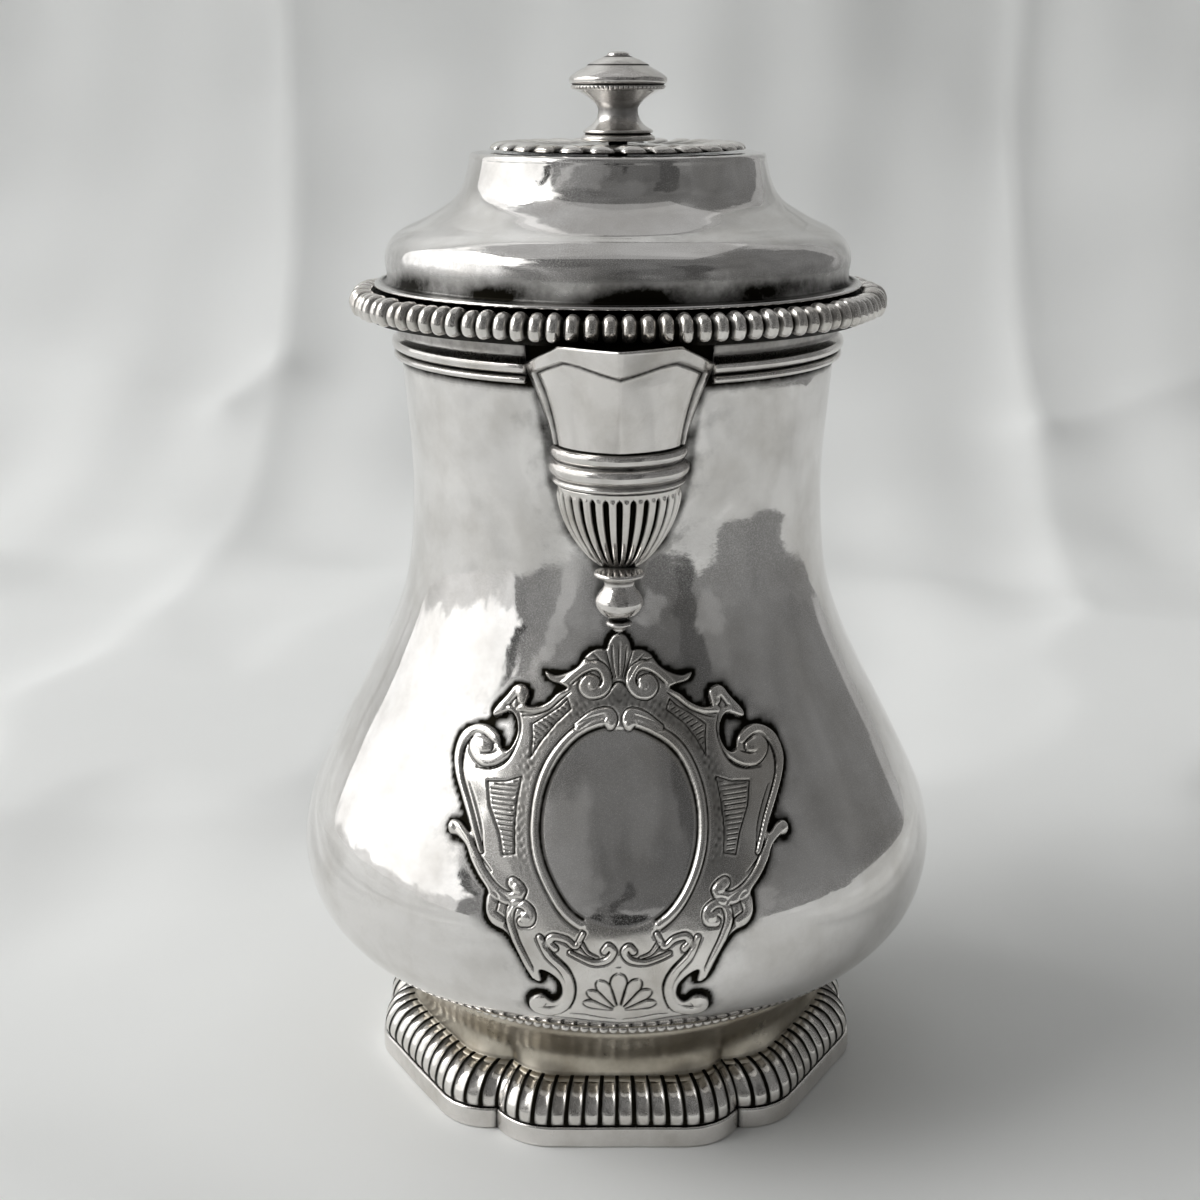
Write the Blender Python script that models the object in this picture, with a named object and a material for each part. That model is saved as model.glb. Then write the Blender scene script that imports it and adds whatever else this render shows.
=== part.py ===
"""Silver coffee pot: a pear-shaped body on a six-lobed foot, with a beak spout,
a hinged domed lid and a wooden handle at the back.

Every named size is in millimetres. +Z is up and the spout faces -Y. The pot's round
axis is the empty "pot_axis", which stands so that the whole object's box is centred
on the origin. The lid's pieces hang from the empty "lid_hinge_axis".
"""
import math

import bmesh
import bpy
from mathutils import Matrix, Vector

MM = 0.001

# Clearances
GAP = 0.3                    # between pieces that are soldered, seated or screwed together
HINGE_PLAY = 0.1             # pin to knuckle bore, all round
BEZEL_PLAY = 0.5             # lid bezel to the mouth, all round

# Foot
FOOT_APOTHEM = 47.0          # axis to the middle of a straight side of the plinth
FOOT_NOTCH_RADIUS = 46.4     # axis to the notch between two lobes
FOOT_STRAIGHT = 12.5         # half the straight run of a side
PLINTH_HEIGHT = 4.2
PLINTH_WALL = 2.0
BORDER_HEIGHT = 6.4          # gadrooned border above the plinth
BORDER_STEP = 0.5            # the border's foot stands this far in from the plinth's face
BORDER_TUCK = 1.6            # the border's inner edge runs this far in under the collar
COLLAR_APOTHEM = 41.2        # foot collar at its lobed lower edge
COLLAR_NOTCH_RADIUS = 40.2
COLLAR_STRAIGHT = 10.6
COLLAR_RADIUS = 45.6         # foot collar where it is round, under the body
FOOT_SHEET = 1.2             # thickness of the collar and border

# Body
SEAT_RADIUS = 44.6           # where the body sits on the collar
SEAT_HEIGHT = 24.9
BODY_WALL = 0.9
BODY_DEPTH_BELOW_SEAT = 7.7  # the rounded bottom hangs inside the foot
BELLY_RADIUS = 63.4
BELLY_HEIGHT = 48.0
NECK_RADIUS = 39.8
NECK_HEIGHT = 118.0
MOUTH_RADIUS = 41.2
MOUTH_BAND = 8.1             # straight part of the neck under the rim
BODY_TOP = 151.6
BEAD_RADIUS = 0.9
MOULDING_HEIGHT = 7.4
MOULDING_RADIUS = 43.3

# Spout
SPOUT_BAND_TOP = 134.6
SPOUT_BAND_HEIGHT = 7.0
SPOUT_CUP_HEIGHT = 14.2
SPOUT_LOW_HALF_WIDTH = 12.0  # at the band
SPOUT_LIP_HALF_WIDTH = 16.5  # at the rim
SPOUT_LOW_REACH = 9.6        # in front of the neck, at the band
SPOUT_LIP_REACH = 17.7       # in front of the neck, at the rim
SPOUT_WALL = 1.1
SPOUT_DROP_RADIUS = 4.5
STRAINER_HOLE_RADIUS = 1.3
STRAINER_ROW = 3.38          # height from one row of strainer holes to the next
STRAINER_SIDE = 2.74         # a side hole's place beside the middle ones

# Cartouche
CARTOUCHE_THICKNESS = 1.0
CARTOUCHE_TOP = 100.8
CARTOUCHE_HEIGHT = 68.6
CARTOUCHE_HALF_WIDTH = 29.6

# Handle and its sockets
HANDLE_REACH = 96.0          # axis to the back of the handle
HANDLE_DEPTH = 5.6           # half the grip, front to back
HANDLE_HALF_WIDTH = 4.8
TENON_RADIUS = 4.6
SOCKET_WALL = 0.9
SOCKET_LENGTH = 12.5
SOCKET_BASE = 3.5            # solid foot of a socket before its bore starts
SOCKET_PIN_RADIUS = 0.8
UPPER_SOCKET_HEIGHT = 130.5
LOWER_SOCKET_HEIGHT = 57.0
PLATE_THICKNESS = 1.2
PLATE_HALF_WIDTH = 9.5
PLATE_HALF_HEIGHT = 10.5

# Hinge
HINGE_REACH = 54.5           # axis of the pot to the hinge pin
HINGE_PIN_RADIUS = 0.9
KNUCKLE_RADIUS = 2.2
CENTRE_KNUCKLE = 7.0         # length of the lid's knuckle
SIDE_KNUCKLE = 4.5           # length of each of the pot's two knuckles
KNUCKLE_GAP = 0.4
BRACKET_THICKNESS = 2.6

# Lid
LID_SHEET = 0.9
RING_RADIUS = 51.0
RING_HEIGHT = 6.0
RING_BORE_STEP = 1.4         # the ring's bore is this much wider than the mouth
LEDGE_RADIUS = 46.2
SHOULDER_RADIUS = 44.0
DRUM_RADIUS = 27.9
LID_RISE = 30.1              # ring's underside to the lid's flat top
BEZEL_DEPTH = 5.2
BEZEL_WALL = 0.8
ROSETTE_RADIUS = 24.0
ROSETTE_THICKNESS = 1.6
FINIAL_RADIUS = 9.15
FINIAL_HEIGHT = 15.8
STUD_RADIUS = 1.8
STUD_LENGTH = 7.6
WASHER_RADIUS = 7.0
WASHER_THICKNESS = 0.9
NUT_RADIUS = 4.2
NUT_THICKNESS = 2.6

LOBES = 6
ROUND_STEPS = 40             # facets round the body and the lid
SMALL_STEPS = 16             # facets round small turned pieces

# Places worked out from the sizes above
FRONT_REACH = BELLY_RADIUS + GAP + CARTOUCHE_THICKNESS
POT_AXIS_Y = (FRONT_REACH - HANDLE_REACH) / 2
BORDER_TOP = PLINTH_HEIGHT + GAP + BORDER_HEIGHT
LID_SEAT = BODY_TOP + GAP
LID_TOP = LID_SEAT + LID_RISE
ROSETTE_BASE = LID_TOP + GAP
FINIAL_BASE = ROSETTE_BASE + ROSETTE_THICKNESS + GAP
HINGE_HEIGHT = LID_SEAT - 0.6


# ---------------------------------------------------------------- shaping helpers

def smooth(points, steps):
    """A smooth curve through points of any dimension, with steps spans between each pair."""
    points = [Vector(p) for p in points]
    ends = [2 * points[0] - points[1]] + points + [2 * points[-1] - points[-2]]
    curve = []
    for a, b, c, d in zip(ends, ends[1:], ends[2:], ends[3:]):
        for i in range(steps):
            t = i / steps
            curve.append(b + 0.5 * t * ((c - a) + t * ((2 * a - 5 * b + 4 * c - d)
                                                      + t * (3 * (b - c) + d - a))))
    curve.append(points[-1])
    return curve


def radius_on(outline, height):
    """Radius of an outline of (radius, height) points, rising, at one height."""
    for low, high in zip(outline, outline[1:]):
        if low[1] <= height <= high[1]:
            share = (height - low[1]) / max(high[1] - low[1], 1e-9)
            return low[0] + share * (high[0] - low[0])
    return outline[-1][0] if height > outline[-1][1] else outline[0][0]


def around(azimuth, radius, height):
    """Point at an azimuth in radians from the front (-Y), turning towards +X."""
    return Vector((radius * math.sin(azimuth), -radius * math.cos(azimuth), height))


def material(name, colour, metallic, roughness):
    mat = bpy.data.materials.new(name)
    mat.use_nodes = True
    shader = mat.node_tree.nodes["Principled BSDF"]
    shader.inputs["Base Color"].default_value = (*colour, 1.0)
    shader.inputs["Metallic"].default_value = metallic
    shader.inputs["Roughness"].default_value = roughness
    return mat


def make_object(name, bm, mat, parent):
    """Turn a mesh built in millimetres round the pot's axis into an object."""
    bmesh.ops.recalc_face_normals(bm, faces=bm.faces)
    bmesh.ops.scale(bm, vec=(MM, MM, MM), verts=bm.verts)
    mesh = bpy.data.meshes.new(name)
    bm.to_mesh(mesh)
    bm.free()
    mesh.materials.append(mat)
    mesh.shade_smooth()
    mesh.set_sharp_from_angle(angle=math.radians(35))
    obj = bpy.data.objects.new(name, mesh)
    bpy.context.collection.objects.link(obj)
    obj.parent = parent
    if parent is lid_hinge_axis:
        obj.location = -lid_hinge_axis.location
    return obj


def join_rows(bm, rows, wrap):
    """Faces between successive rows of vertices; wrap closes each row on itself."""
    for low, high in zip(rows, rows[1:]):
        count = len(low) if wrap else len(low) - 1
        for i in range(count):
            j = (i + 1) % len(low)
            corners = [low[i], low[j], high[j], high[i]]
            corners = list(dict.fromkeys(corners))
            if len(corners) > 2:
                bm.faces.new(corners)


def thick_sheet(outer, inner, wrap=False):
    """A closed sheet between two grids of points, given as rows of equal length."""
    bm = bmesh.new()
    out = [[bm.verts.new(p) for p in row] for row in outer]
    back = [[bm.verts.new(p) for p in row] for row in inner]
    join_rows(bm, out, wrap)
    join_rows(bm, back, wrap)
    join_rows(bm, [out[0], back[0]], wrap)
    join_rows(bm, [out[-1], back[-1]], wrap)
    if not wrap:
        for side in (0, -1):
            join_rows(bm, [[row[side] for row in out], [row[side] for row in back]], False)
    return bm


def turned(profile, steps=SMALL_STEPS, start=0.0, sweep=math.tau):
    """Revolve a closed outline of (radius, height) points about Z."""
    bm = bmesh.new()
    full = abs(sweep - math.tau) < 1e-6
    count = steps if full else steps + 1
    poles = {i: bm.verts.new((0, 0, z)) for i, (r, z) in enumerate(profile) if r < 1e-6}
    columns = []
    for k in range(count):
        turn = start + sweep * k / steps
        column = [poles.get(i) or bm.verts.new(around(turn, r, z)) for i, (r, z) in enumerate(profile)]
        columns.append(column)
    if full:
        columns.append(columns[0])
    for left, right in zip(columns, columns[1:]):
        for i in range(len(profile)):
            j = (i + 1) % len(profile)
            if i in poles and j in poles:
                continue
            corners = list(dict.fromkeys([left[i], left[j], right[j], right[i]]))
            bm.faces.new(corners)
    if not full:
        bm.faces.new(columns[0])
        bm.faces.new(columns[-1])
    return bm


def loft(rows):
    """A closed solid through loops of points, with flat ends."""
    bm = bmesh.new()
    rings = [[bm.verts.new(p) for p in row] for row in rows]
    join_rows(bm, rings, True)
    bm.faces.new(rings[0])
    bm.faces.new(rings[-1])
    return bm


def cylinder(start, end, radius, steps=SMALL_STEPS):
    """A closed cylinder between two points."""
    start, end = Vector(start), Vector(end)
    axis = (end - start).normalized()
    side = axis.cross(Vector((0.13, 0.31, 0.94))).normalized()
    up = axis.cross(side)
    turns = [math.tau * i / steps for i in range(steps)]
    ring = [radius * (math.cos(t) * side + math.sin(t) * up) for t in turns]
    return loft([[start + p for p in ring], [end + p for p in ring]])


def extruded(outline, half_width, offset=0.0):
    """Extrude an outline of (y, z) points along X, centred on offset."""
    return loft([[Vector((x, y, z)) for y, z in outline]
                 for x in (offset - half_width, offset + half_width)])


def combine(target, tool, operation):
    """Boolean with a hidden tool object."""
    tool.hide_render = True
    tool.display_type = "WIRE"
    modifier = target.modifiers.new(tool.name, "BOOLEAN")
    modifier.operation = operation
    modifier.solver = "EXACT"
    modifier.object = tool


# ---------------------------------------------------------------- shared outlines

def body_outline():
    """Outer outline of the body, from the middle of its bottom to the rim."""
    bottom = SEAT_HEIGHT - BODY_DEPTH_BELOW_SEAT
    rise = BELLY_HEIGHT - SEAT_HEIGHT
    swell = BELLY_RADIUS - SEAT_RADIUS
    climb = NECK_HEIGHT - BELLY_HEIGHT
    draw_in = BELLY_RADIUS - NECK_RADIUS
    band = BODY_TOP - MOUTH_BAND
    flare = MOUTH_RADIUS - NECK_RADIUS
    lower = [(0.0, bottom), (0.45 * SEAT_RADIUS, bottom + 0.6), (0.74 * SEAT_RADIUS, bottom + 2.8),
             (0.9 * SEAT_RADIUS, bottom + 5.2), (SEAT_RADIUS, SEAT_HEIGHT)]
    bowl = [(0.31, 0.11), (0.60, 0.235), (0.85, 0.48), (0.968, 0.74), (1.0, 1.0)]
    pear = [(0.962, 0.086), (0.874, 0.171), (0.622, 0.343), (0.31, 0.543), (0.119, 0.70),
            (0.034, 0.83), (0.0, 1.0)]
    points = lower
    points += [(SEAT_RADIUS + swell * r, SEAT_HEIGHT + rise * h) for r, h in bowl]
    points += [(NECK_RADIUS + draw_in * r, BELLY_HEIGHT + climb * h) for r, h in pear]
    points += [(NECK_RADIUS + 0.07 * flare, NECK_HEIGHT + 0.32 * (band - NECK_HEIGHT)),
               (NECK_RADIUS + 0.6 * flare, NECK_HEIGHT + 0.7 * (band - NECK_HEIGHT)),
               (MOUTH_RADIUS, band), (MOUTH_RADIUS, BODY_TOP)]
    return points


BODY_POINTS = body_outline()
BODY_CURVE = [tuple(p) for p in smooth(BODY_POINTS, 6)]


def body_radius(height):
    """Outer radius of the body at a height above its seat."""
    return radius_on([p for p in BODY_CURVE if p[0] >= SEAT_RADIUS * 0.8 or p[1] > SEAT_HEIGHT], height)


def lobed_outline(apothem, notch_radius, straight):
    """Plan of the foot: straight sides with rounded ends that meet in notches."""
    notch_x = notch_radius * math.sin(math.pi / LOBES)
    notch_y = notch_radius * math.cos(math.pi / LOBES)
    straight = min(straight, 0.8 * notch_x)
    steps = [-1.0, -0.88, -0.55, 0.0]
    reach = 0.93             # how far round the end's quarter turn the notch lies
    full_drop = 1 - math.sqrt(1 - reach ** 2)
    half = []
    for s in steps:
        x = -straight + s * (notch_x - straight)
        drop = (apothem - notch_y) * (1 - math.sqrt(1 - (reach * s) ** 2)) / full_drop
        half.append((x, apothem - drop))
    middle = [(-straight / 3, apothem), (straight / 3, apothem)]
    side = half + middle + [(-x, y) for x, y in reversed(half)][:-1]
    points = []
    for lobe in range(LOBES):
        turn = math.tau * lobe / LOBES
        for x, y in side:
            points.append(around(turn + math.atan2(x, y), math.hypot(x, y), 0.0))
    return points


def lobed_row(apothem, notch_radius, straight, height, roundness=0.0, radius=0.0):
    """A row of the foot at one height, drawn towards a circle by roundness."""
    row = []
    for point in lobed_outline(apothem, notch_radius, straight):
        round_point = point.normalized() * radius
        mixed = point.lerp(round_point, roundness)
        row.append(Vector((mixed.x, mixed.y, height)))
    return row


# ---------------------------------------------------------------- scene, axes, materials

for old in list(bpy.data.objects):
    bpy.data.objects.remove(old, do_unlink=True)

pot_axis = bpy.data.objects.new("pot_axis", None)
bpy.context.collection.objects.link(pot_axis)
pot_axis.location = (0.0, POT_AXIS_Y * MM, 0.0)

lid_hinge_axis = bpy.data.objects.new("lid_hinge_axis", None)
bpy.context.collection.objects.link(lid_hinge_axis)
lid_hinge_axis.parent = pot_axis
lid_hinge_axis.location = (0.0, HINGE_REACH * MM, HINGE_HEIGHT * MM)

silver = material("polished_silver", (0.80, 0.79, 0.76), 1.0, 0.16)
chased_silver = material("chased_silver", (0.70, 0.69, 0.66), 1.0, 0.28)
pin_silver = material("silver_wire", (0.74, 0.73, 0.70), 1.0, 0.22)
fruitwood = material("dark_fruitwood", (0.050, 0.026, 0.015), 0.0, 0.38)


# ---------------------------------------------------------------- foot

def foot_plinth():
    """Upright band that follows the lobes; its lower edge is what the pot stands on."""
    def row(inset, height):
        return lobed_row(FOOT_APOTHEM - inset, FOOT_NOTCH_RADIUS - inset, FOOT_STRAIGHT, height)
    outer = [row(0.0, 0.0), row(0.0, PLINTH_HEIGHT)]
    inner = [row(PLINTH_WALL, 0.0), row(PLINTH_WALL, PLINTH_HEIGHT)]
    make_object("foot_plinth", thick_sheet(outer, inner, wrap=True), silver, pot_axis)


def foot_gadroon_border():
    """Rounded border that rises inwards from the plinth."""
    base = PLINTH_HEIGHT + GAP
    inner_apothem, inner_notch = COLLAR_APOTHEM - BORDER_TUCK, COLLAR_NOTCH_RADIUS - BORDER_TUCK
    apothem_run = FOOT_APOTHEM - BORDER_STEP - inner_apothem
    notch_run = FOOT_NOTCH_RADIUS - BORDER_STEP - inner_notch
    section = [(1.0, 0.0), (1.02, 0.22), (0.93, 0.50), (0.72, 0.79), (0.40, 0.97), (0.0, 1.0)]

    def row(share, rise, inset):
        straight = COLLAR_STRAIGHT + (FOOT_STRAIGHT - COLLAR_STRAIGHT) * share
        return lobed_row(inner_apothem + apothem_run * share - inset,
                         inner_notch + notch_run * share - inset, straight, base + rise)
    outer = [row(share, BORDER_HEIGHT * rise, 0.0) for share, rise in section]
    inner = [row(share, (BORDER_HEIGHT - FOOT_SHEET) * rise, FOOT_SHEET if share > 0 else 0.0)
             for share, rise in section[::2] + section[-1:]]
    make_object("foot_gadroon_border", thick_sheet(outer, inner, wrap=True), chased_silver, pot_axis)


def foot_collar():
    """Neck of the foot: lobed where it meets the border and round under the body."""
    low = BORDER_TOP + GAP
    top = SEAT_HEIGHT - 0.55
    rise = top - low
    # share of the rise, how round the outline is there, and its radius where it is round
    section = [(0.0, 0.0, COLLAR_APOTHEM), (0.12, 0.35, COLLAR_RADIUS - 4.7),
               (0.32, 0.8, COLLAR_RADIUS - 4.3), (0.52, 1.0, COLLAR_RADIUS - 3.0),
               (0.72, 1.0, COLLAR_RADIUS - 1.3), (0.87, 1.0, COLLAR_RADIUS),
               (0.96, 1.0, COLLAR_RADIUS - 0.3), (1.0, 1.0, COLLAR_RADIUS - 0.9)]

    def row(share, roundness, radius, inset):
        return lobed_row(COLLAR_APOTHEM - inset, COLLAR_NOTCH_RADIUS - inset, COLLAR_STRAIGHT,
                         low + rise * share, roundness, radius - inset)
    outer = [row(*s, 0.0) for s in section]
    inner = [row(*s, FOOT_SHEET) for s in section[::3] + section[-2:]]
    inner[-1] = [Vector((p.x, p.y, p.z - 0.6)) for p in inner[-1]]
    inner[-2] = [Vector((p.x, p.y, p.z - 0.4)) for p in inner[-2]]
    make_object("foot_collar", thick_sheet(outer, inner, wrap=True), silver, pot_axis)


# ---------------------------------------------------------------- body

def body_shell():
    """Raised pear-shaped wall, open at the mouth, pierced behind the spout."""
    outer = BODY_POINTS
    inner = []
    for i, point in enumerate(BODY_POINTS):
        if 0 < i < len(BODY_POINTS) - 1 and i % 2:
            continue
        before = Vector(BODY_POINTS[max(i - 1, 0)])
        after = Vector(BODY_POINTS[min(i + 1, len(BODY_POINTS) - 1)])
        along = (after - before).normalized()
        inner.append(Vector(point) + BODY_WALL * Vector((-along.y, along.x)))
    inner[0].x = 0.0
    inner[-1].y = BODY_TOP
    profile = outer + [tuple(p) for p in reversed(inner)]
    shell = make_object("body_shell", turned(profile, ROUND_STEPS), silver, pot_axis)

    holes = bmesh.new()
    bottom = SPOUT_BAND_TOP - 0.45 * SPOUT_BAND_HEIGHT
    places = [(0.0, 0), (-1.0, 1), (1.0, 1), (0.0, 2), (-1.0, 3), (1.0, 3), (0.0, 4)]
    for across, up in places:
        height = bottom + up * STRAINER_ROW
        x = across * STRAINER_SIDE
        depth = math.sqrt(NECK_RADIUS ** 2 - x ** 2)
        part = cylinder((x, -depth - 4, height), (x, -depth + 4, height), STRAINER_HOLE_RADIUS, 10)
        mesh = bpy.data.meshes.new("hole")
        part.to_mesh(mesh)
        part.free()
        holes.from_mesh(mesh)
        bpy.data.meshes.remove(mesh)
    combine(shell, make_object("strainer_holes", holes, silver, pot_axis), "DIFFERENCE")


def bead_ring():
    """Beaded wire at the joint of body and foot."""
    centre = (SEAT_RADIUS + 2.35, SEAT_HEIGHT - 0.35)
    turns = [math.tau * i / 6 for i in range(6)]
    section = [(centre[0] + BEAD_RADIUS * math.cos(t), centre[1] + BEAD_RADIUS * math.sin(t)) for t in turns]
    make_object("bead_ring", turned(section, ROUND_STEPS), chased_silver, pot_axis)


def neck_moulding():
    """Reeded wire round the neck, broken by the spout."""
    top = BODY_TOP - GAP
    low = top - MOULDING_HEIGHT
    bore = MOUTH_RADIUS + GAP
    proud = MOULDING_RADIUS - bore
    shape = [(0.0, 0.0), (0.35, 0.0), (0.45, 0.10), (0.95, 0.24), (0.95, 0.40), (0.70, 0.46),
             (1.0, 0.56), (1.0, 0.90), (0.7, 1.0), (0.0, 1.0)]
    section = [(bore + proud * out, low + MOULDING_HEIGHT * up) for out, up in shape]
    half_gap = math.asin((SPOUT_LIP_HALF_WIDTH + GAP) / bore)
    steps = round(ROUND_STEPS * (1 - half_gap / math.pi))
    bm = turned(section, steps, half_gap, math.tau - 2 * half_gap)
    make_object("neck_moulding", bm, silver, pot_axis)


# ---------------------------------------------------------------- spout

def neck_skin(x, height, gap=GAP):
    """Point just in front of the body's wall."""
    radius = body_radius(height) + gap
    return Vector((x, -math.sqrt(radius ** 2 - x ** 2), height))


def spout_plan(half_width, reach, height, shoulder):
    """Half-round to beaked plan of the spout at one height, from its left joint to its right."""
    joint = neck_skin(half_width, height)
    front = -(body_radius(height) + GAP + reach)
    points = []
    for turn in (-90, -62, -38, -18, 0, 18, 38, 62, 90):
        angle = math.radians(turn)
        arc = (half_width * math.sin(angle), joint.y + (front - joint.y) * math.cos(angle))
        share = abs(turn) / 90
        beak = (half_width * math.copysign(share ** 0.8, turn) if turn else 0.0,
                front + (joint.y - front) * (0.45 * share + 0.55 * share ** 3))
        points.append(Vector((arc[0] + (beak[0] - arc[0]) * shoulder,
                              arc[1] + (beak[1] - arc[1]) * shoulder, height)))
    return points


def inset_plan(points, depth):
    """Shift a plan outline inwards, keeping its two ends on the neck."""
    moved = []
    for i, point in enumerate(points):
        before, after = points[max(i - 1, 0)], points[min(i + 1, len(points) - 1)]
        along = (after - before).normalized()
        moved.append(point + depth * Vector((-along.y, along.x, 0.0)))
    for end, sign in ((0, 1), (-1, -1)):
        moved[end] = neck_skin(points[end].x + sign * depth, points[end].z)
    return moved


def spout_lip():
    """Beak of the spout: a raised trough with a ridge down its front."""
    base = SPOUT_BAND_TOP + GAP
    rim = [-2.0, 0.1, 1.0, 1.3, 1.0, 1.3, 1.0, 0.1, -2.0]
    rows = []
    for i in range(7):
        t = i / 6
        flare = 0.55 * t + 0.45 * t ** 2
        half_width = SPOUT_LOW_HALF_WIDTH + (SPOUT_LIP_HALF_WIDTH - SPOUT_LOW_HALF_WIDTH) * flare
        reach = SPOUT_LOW_REACH + (SPOUT_LIP_REACH - SPOUT_LOW_REACH) * flare
        row = spout_plan(half_width, reach, base + (BODY_TOP - base) * t, min(1.0, 0.35 + t))
        for point, lift in zip(row, rim):
            point.z += lift * t
        rows.append(row)
    inner = [inset_plan(row, SPOUT_WALL) for row in rows]
    make_object("spout_lip", thick_sheet(rows, inner), silver, pot_axis)


def spout_band():
    """Double reeded strap round the spout."""
    low = SPOUT_BAND_TOP - SPOUT_BAND_HEIGHT
    section = [(0.0, 0.1), (0.10, 0.8), (0.36, 1.1), (0.56, 0.9), (0.64, 0.3), (0.74, 0.8),
               (0.92, 0.8), (1.0, 0.2)]
    outer = [spout_plan(SPOUT_LOW_HALF_WIDTH + p, SPOUT_LOW_REACH + p, low + SPOUT_BAND_HEIGHT * h, 0.15)
             for h, p in section]
    inner = [inset_plan(spout_plan(SPOUT_LOW_HALF_WIDTH, SPOUT_LOW_REACH, low + SPOUT_BAND_HEIGHT * h, 0.15),
                        SPOUT_WALL) for h, p in section]
    make_object("spout_band", thick_sheet(outer, inner), silver, pot_axis)


def spout_cup():
    """Fluted half bowl that closes the spout below the band."""
    top = SPOUT_BAND_TOP - SPOUT_BAND_HEIGHT - GAP
    section = [(0.0, 0.97), (0.18, 0.95), (0.40, 0.88), (0.62, 0.75), (0.82, 0.57), (0.94, 0.44), (1.0, 0.36)]
    outer, inner = [], []
    for down, width in section:
        height = top - SPOUT_CUP_HEIGHT * down
        row = spout_plan(SPOUT_LOW_HALF_WIDTH * width, SPOUT_LOW_REACH * width, height, 0.0)
        back = [neck_skin(p.x, height) for p in row]
        for end in (0, -1):
            row[end].y -= 0.3
        outer.append(row)
        inner.append(back)
    make_object("spout_cup", thick_sheet(outer, inner), chased_silver, pot_axis)


def spout_drop():
    """Turned drop under the cup."""
    top = SPOUT_BAND_TOP - SPOUT_BAND_HEIGHT - SPOUT_CUP_HEIGHT - 2 * GAP
    section = [(0.0, 0.0), (0.955, 0.0), (1.0, -0.7), (0.69, -1.5), (0.62, -2.6), (0.78, -3.9),
               (0.91, -5.6), (0.82, -7.3), (0.49, -8.3), (0.355, -8.8), (0.49, -9.5), (0.33, -10.2),
               (0.22, -10.9), (0.0, -11.3)]
    bm = turned([(SPOUT_DROP_RADIUS * width, top + z) for width, z in section])
    seat = max(body_radius(top - 0.7), body_radius(top - 5.6)) + GAP + SPOUT_DROP_RADIUS
    bmesh.ops.translate(bm, vec=(0.0, -seat, 0.0), verts=bm.verts)
    make_object("spout_drop", bm, silver, pot_axis)


def cartouche():
    """Cast scrolled plate that follows the body under the spout."""
    shape = [(0.0, 0.06), (0.04, 0.12), (0.08, 0.22), (0.12, 0.48), (0.18, 0.62), (0.22, 0.75), (0.28, 0.74),
             (0.33, 0.88), (0.38, 1.0), (0.44, 0.97), (0.50, 1.0), (0.56, 0.88), (0.62, 0.80), (0.70, 0.80),
             (0.78, 0.68), (0.86, 0.56), (0.91, 0.52), (0.96, 0.38), (1.0, 0.16)]
    outer, inner = [], []
    for down, width in shape:
        height = CARTOUCHE_TOP - CARTOUCHE_HEIGHT * down
        chord = [CARTOUCHE_HALF_WIDTH * width * i / 4 for i in range(-4, 5)]
        inner.append([neck_skin(x, height) for x in chord])
        outer.append([neck_skin(x, height, GAP + CARTOUCHE_THICKNESS) for x in chord])
    make_object("cartouche", thick_sheet(outer, inner), chased_silver, pot_axis)


# ---------------------------------------------------------------- handle

def socket_frame(height):
    """Matrix that stands a turned socket, pointing along +Z, square to the wall at the back."""
    start = Vector((0.0, body_radius(height) + GAP + PLATE_THICKNESS + GAP, height))
    slope = (body_radius(height + PLATE_HALF_HEIGHT / 2) - body_radius(height - PLATE_HALF_HEIGHT / 2))
    tilt = -math.atan(slope / PLATE_HALF_HEIGHT)
    return Matrix.Translation(start) @ Matrix.Rotation(tilt - math.pi / 2, 4, "X")


def attachment_plate(name, height):
    """Oval plate soldered on the body where a socket stands."""
    outer, inner = [], []
    rows = 6
    for i in range(rows + 1):
        v = -1 + 2 * i / rows
        z = height + PLATE_HALF_HEIGHT * v
        width = PLATE_HALF_WIDTH * max(0.3, math.sqrt(1 - v * v))
        chord = [width * k / 3 for k in range(-3, 4)]
        inner.append([Vector((x, -neck_skin(x, z).y, z)) for x in chord])
        outer.append([Vector((x, -neck_skin(x, z, GAP + PLATE_THICKNESS).y, z)) for x in chord])
    make_object(name, thick_sheet(outer, inner), chased_silver, pot_axis)


def socket(name, height):
    """Turned socket that holds one end of the handle, cross-drilled for its pin."""
    bore = TENON_RADIUS + GAP
    wall = bore + SOCKET_WALL
    section = [(0.0, 0.0), (wall + 0.9, 0.0), (wall + 1.1, 0.9), (wall + 0.2, 2.0), (wall, 3.2), (wall, 9.6),
               (wall + 0.7, 10.4), (wall + 0.7, SOCKET_LENGTH - 0.5), (wall + 0.2, SOCKET_LENGTH),
               (bore, SOCKET_LENGTH), (bore, SOCKET_BASE), (0.0, SOCKET_BASE)]
    frame = socket_frame(height)
    bm = turned(section)
    bmesh.ops.transform(bm, matrix=frame, verts=bm.verts)
    piece = make_object(name, bm, silver, pot_axis)
    combine(piece, pin_drill(name + "_drill", frame), "DIFFERENCE")


def pin_ends(frame, length):
    """End points of a cross pin through a socket."""
    middle = frame @ Vector((0.0, 0.0, (SOCKET_BASE + 9.6) / 2 + 0.4))
    return middle - Vector((length / 2, 0, 0)), middle + Vector((length / 2, 0, 0))


def pin_drill(name, frame):
    start, end = pin_ends(frame, 4 * TENON_RADIUS)
    return make_object(name, cylinder(start, end, SOCKET_PIN_RADIUS + GAP, 12), silver, pot_axis)


def socket_pin(name, height):
    """Silver cross pin through socket and tenon."""
    length = 2 * (TENON_RADIUS + GAP + SOCKET_WALL) + 0.8
    start, end = pin_ends(socket_frame(height), length)
    make_object(name, cylinder(start, end, SOCKET_PIN_RADIUS, 12), pin_silver, pot_axis)


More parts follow.
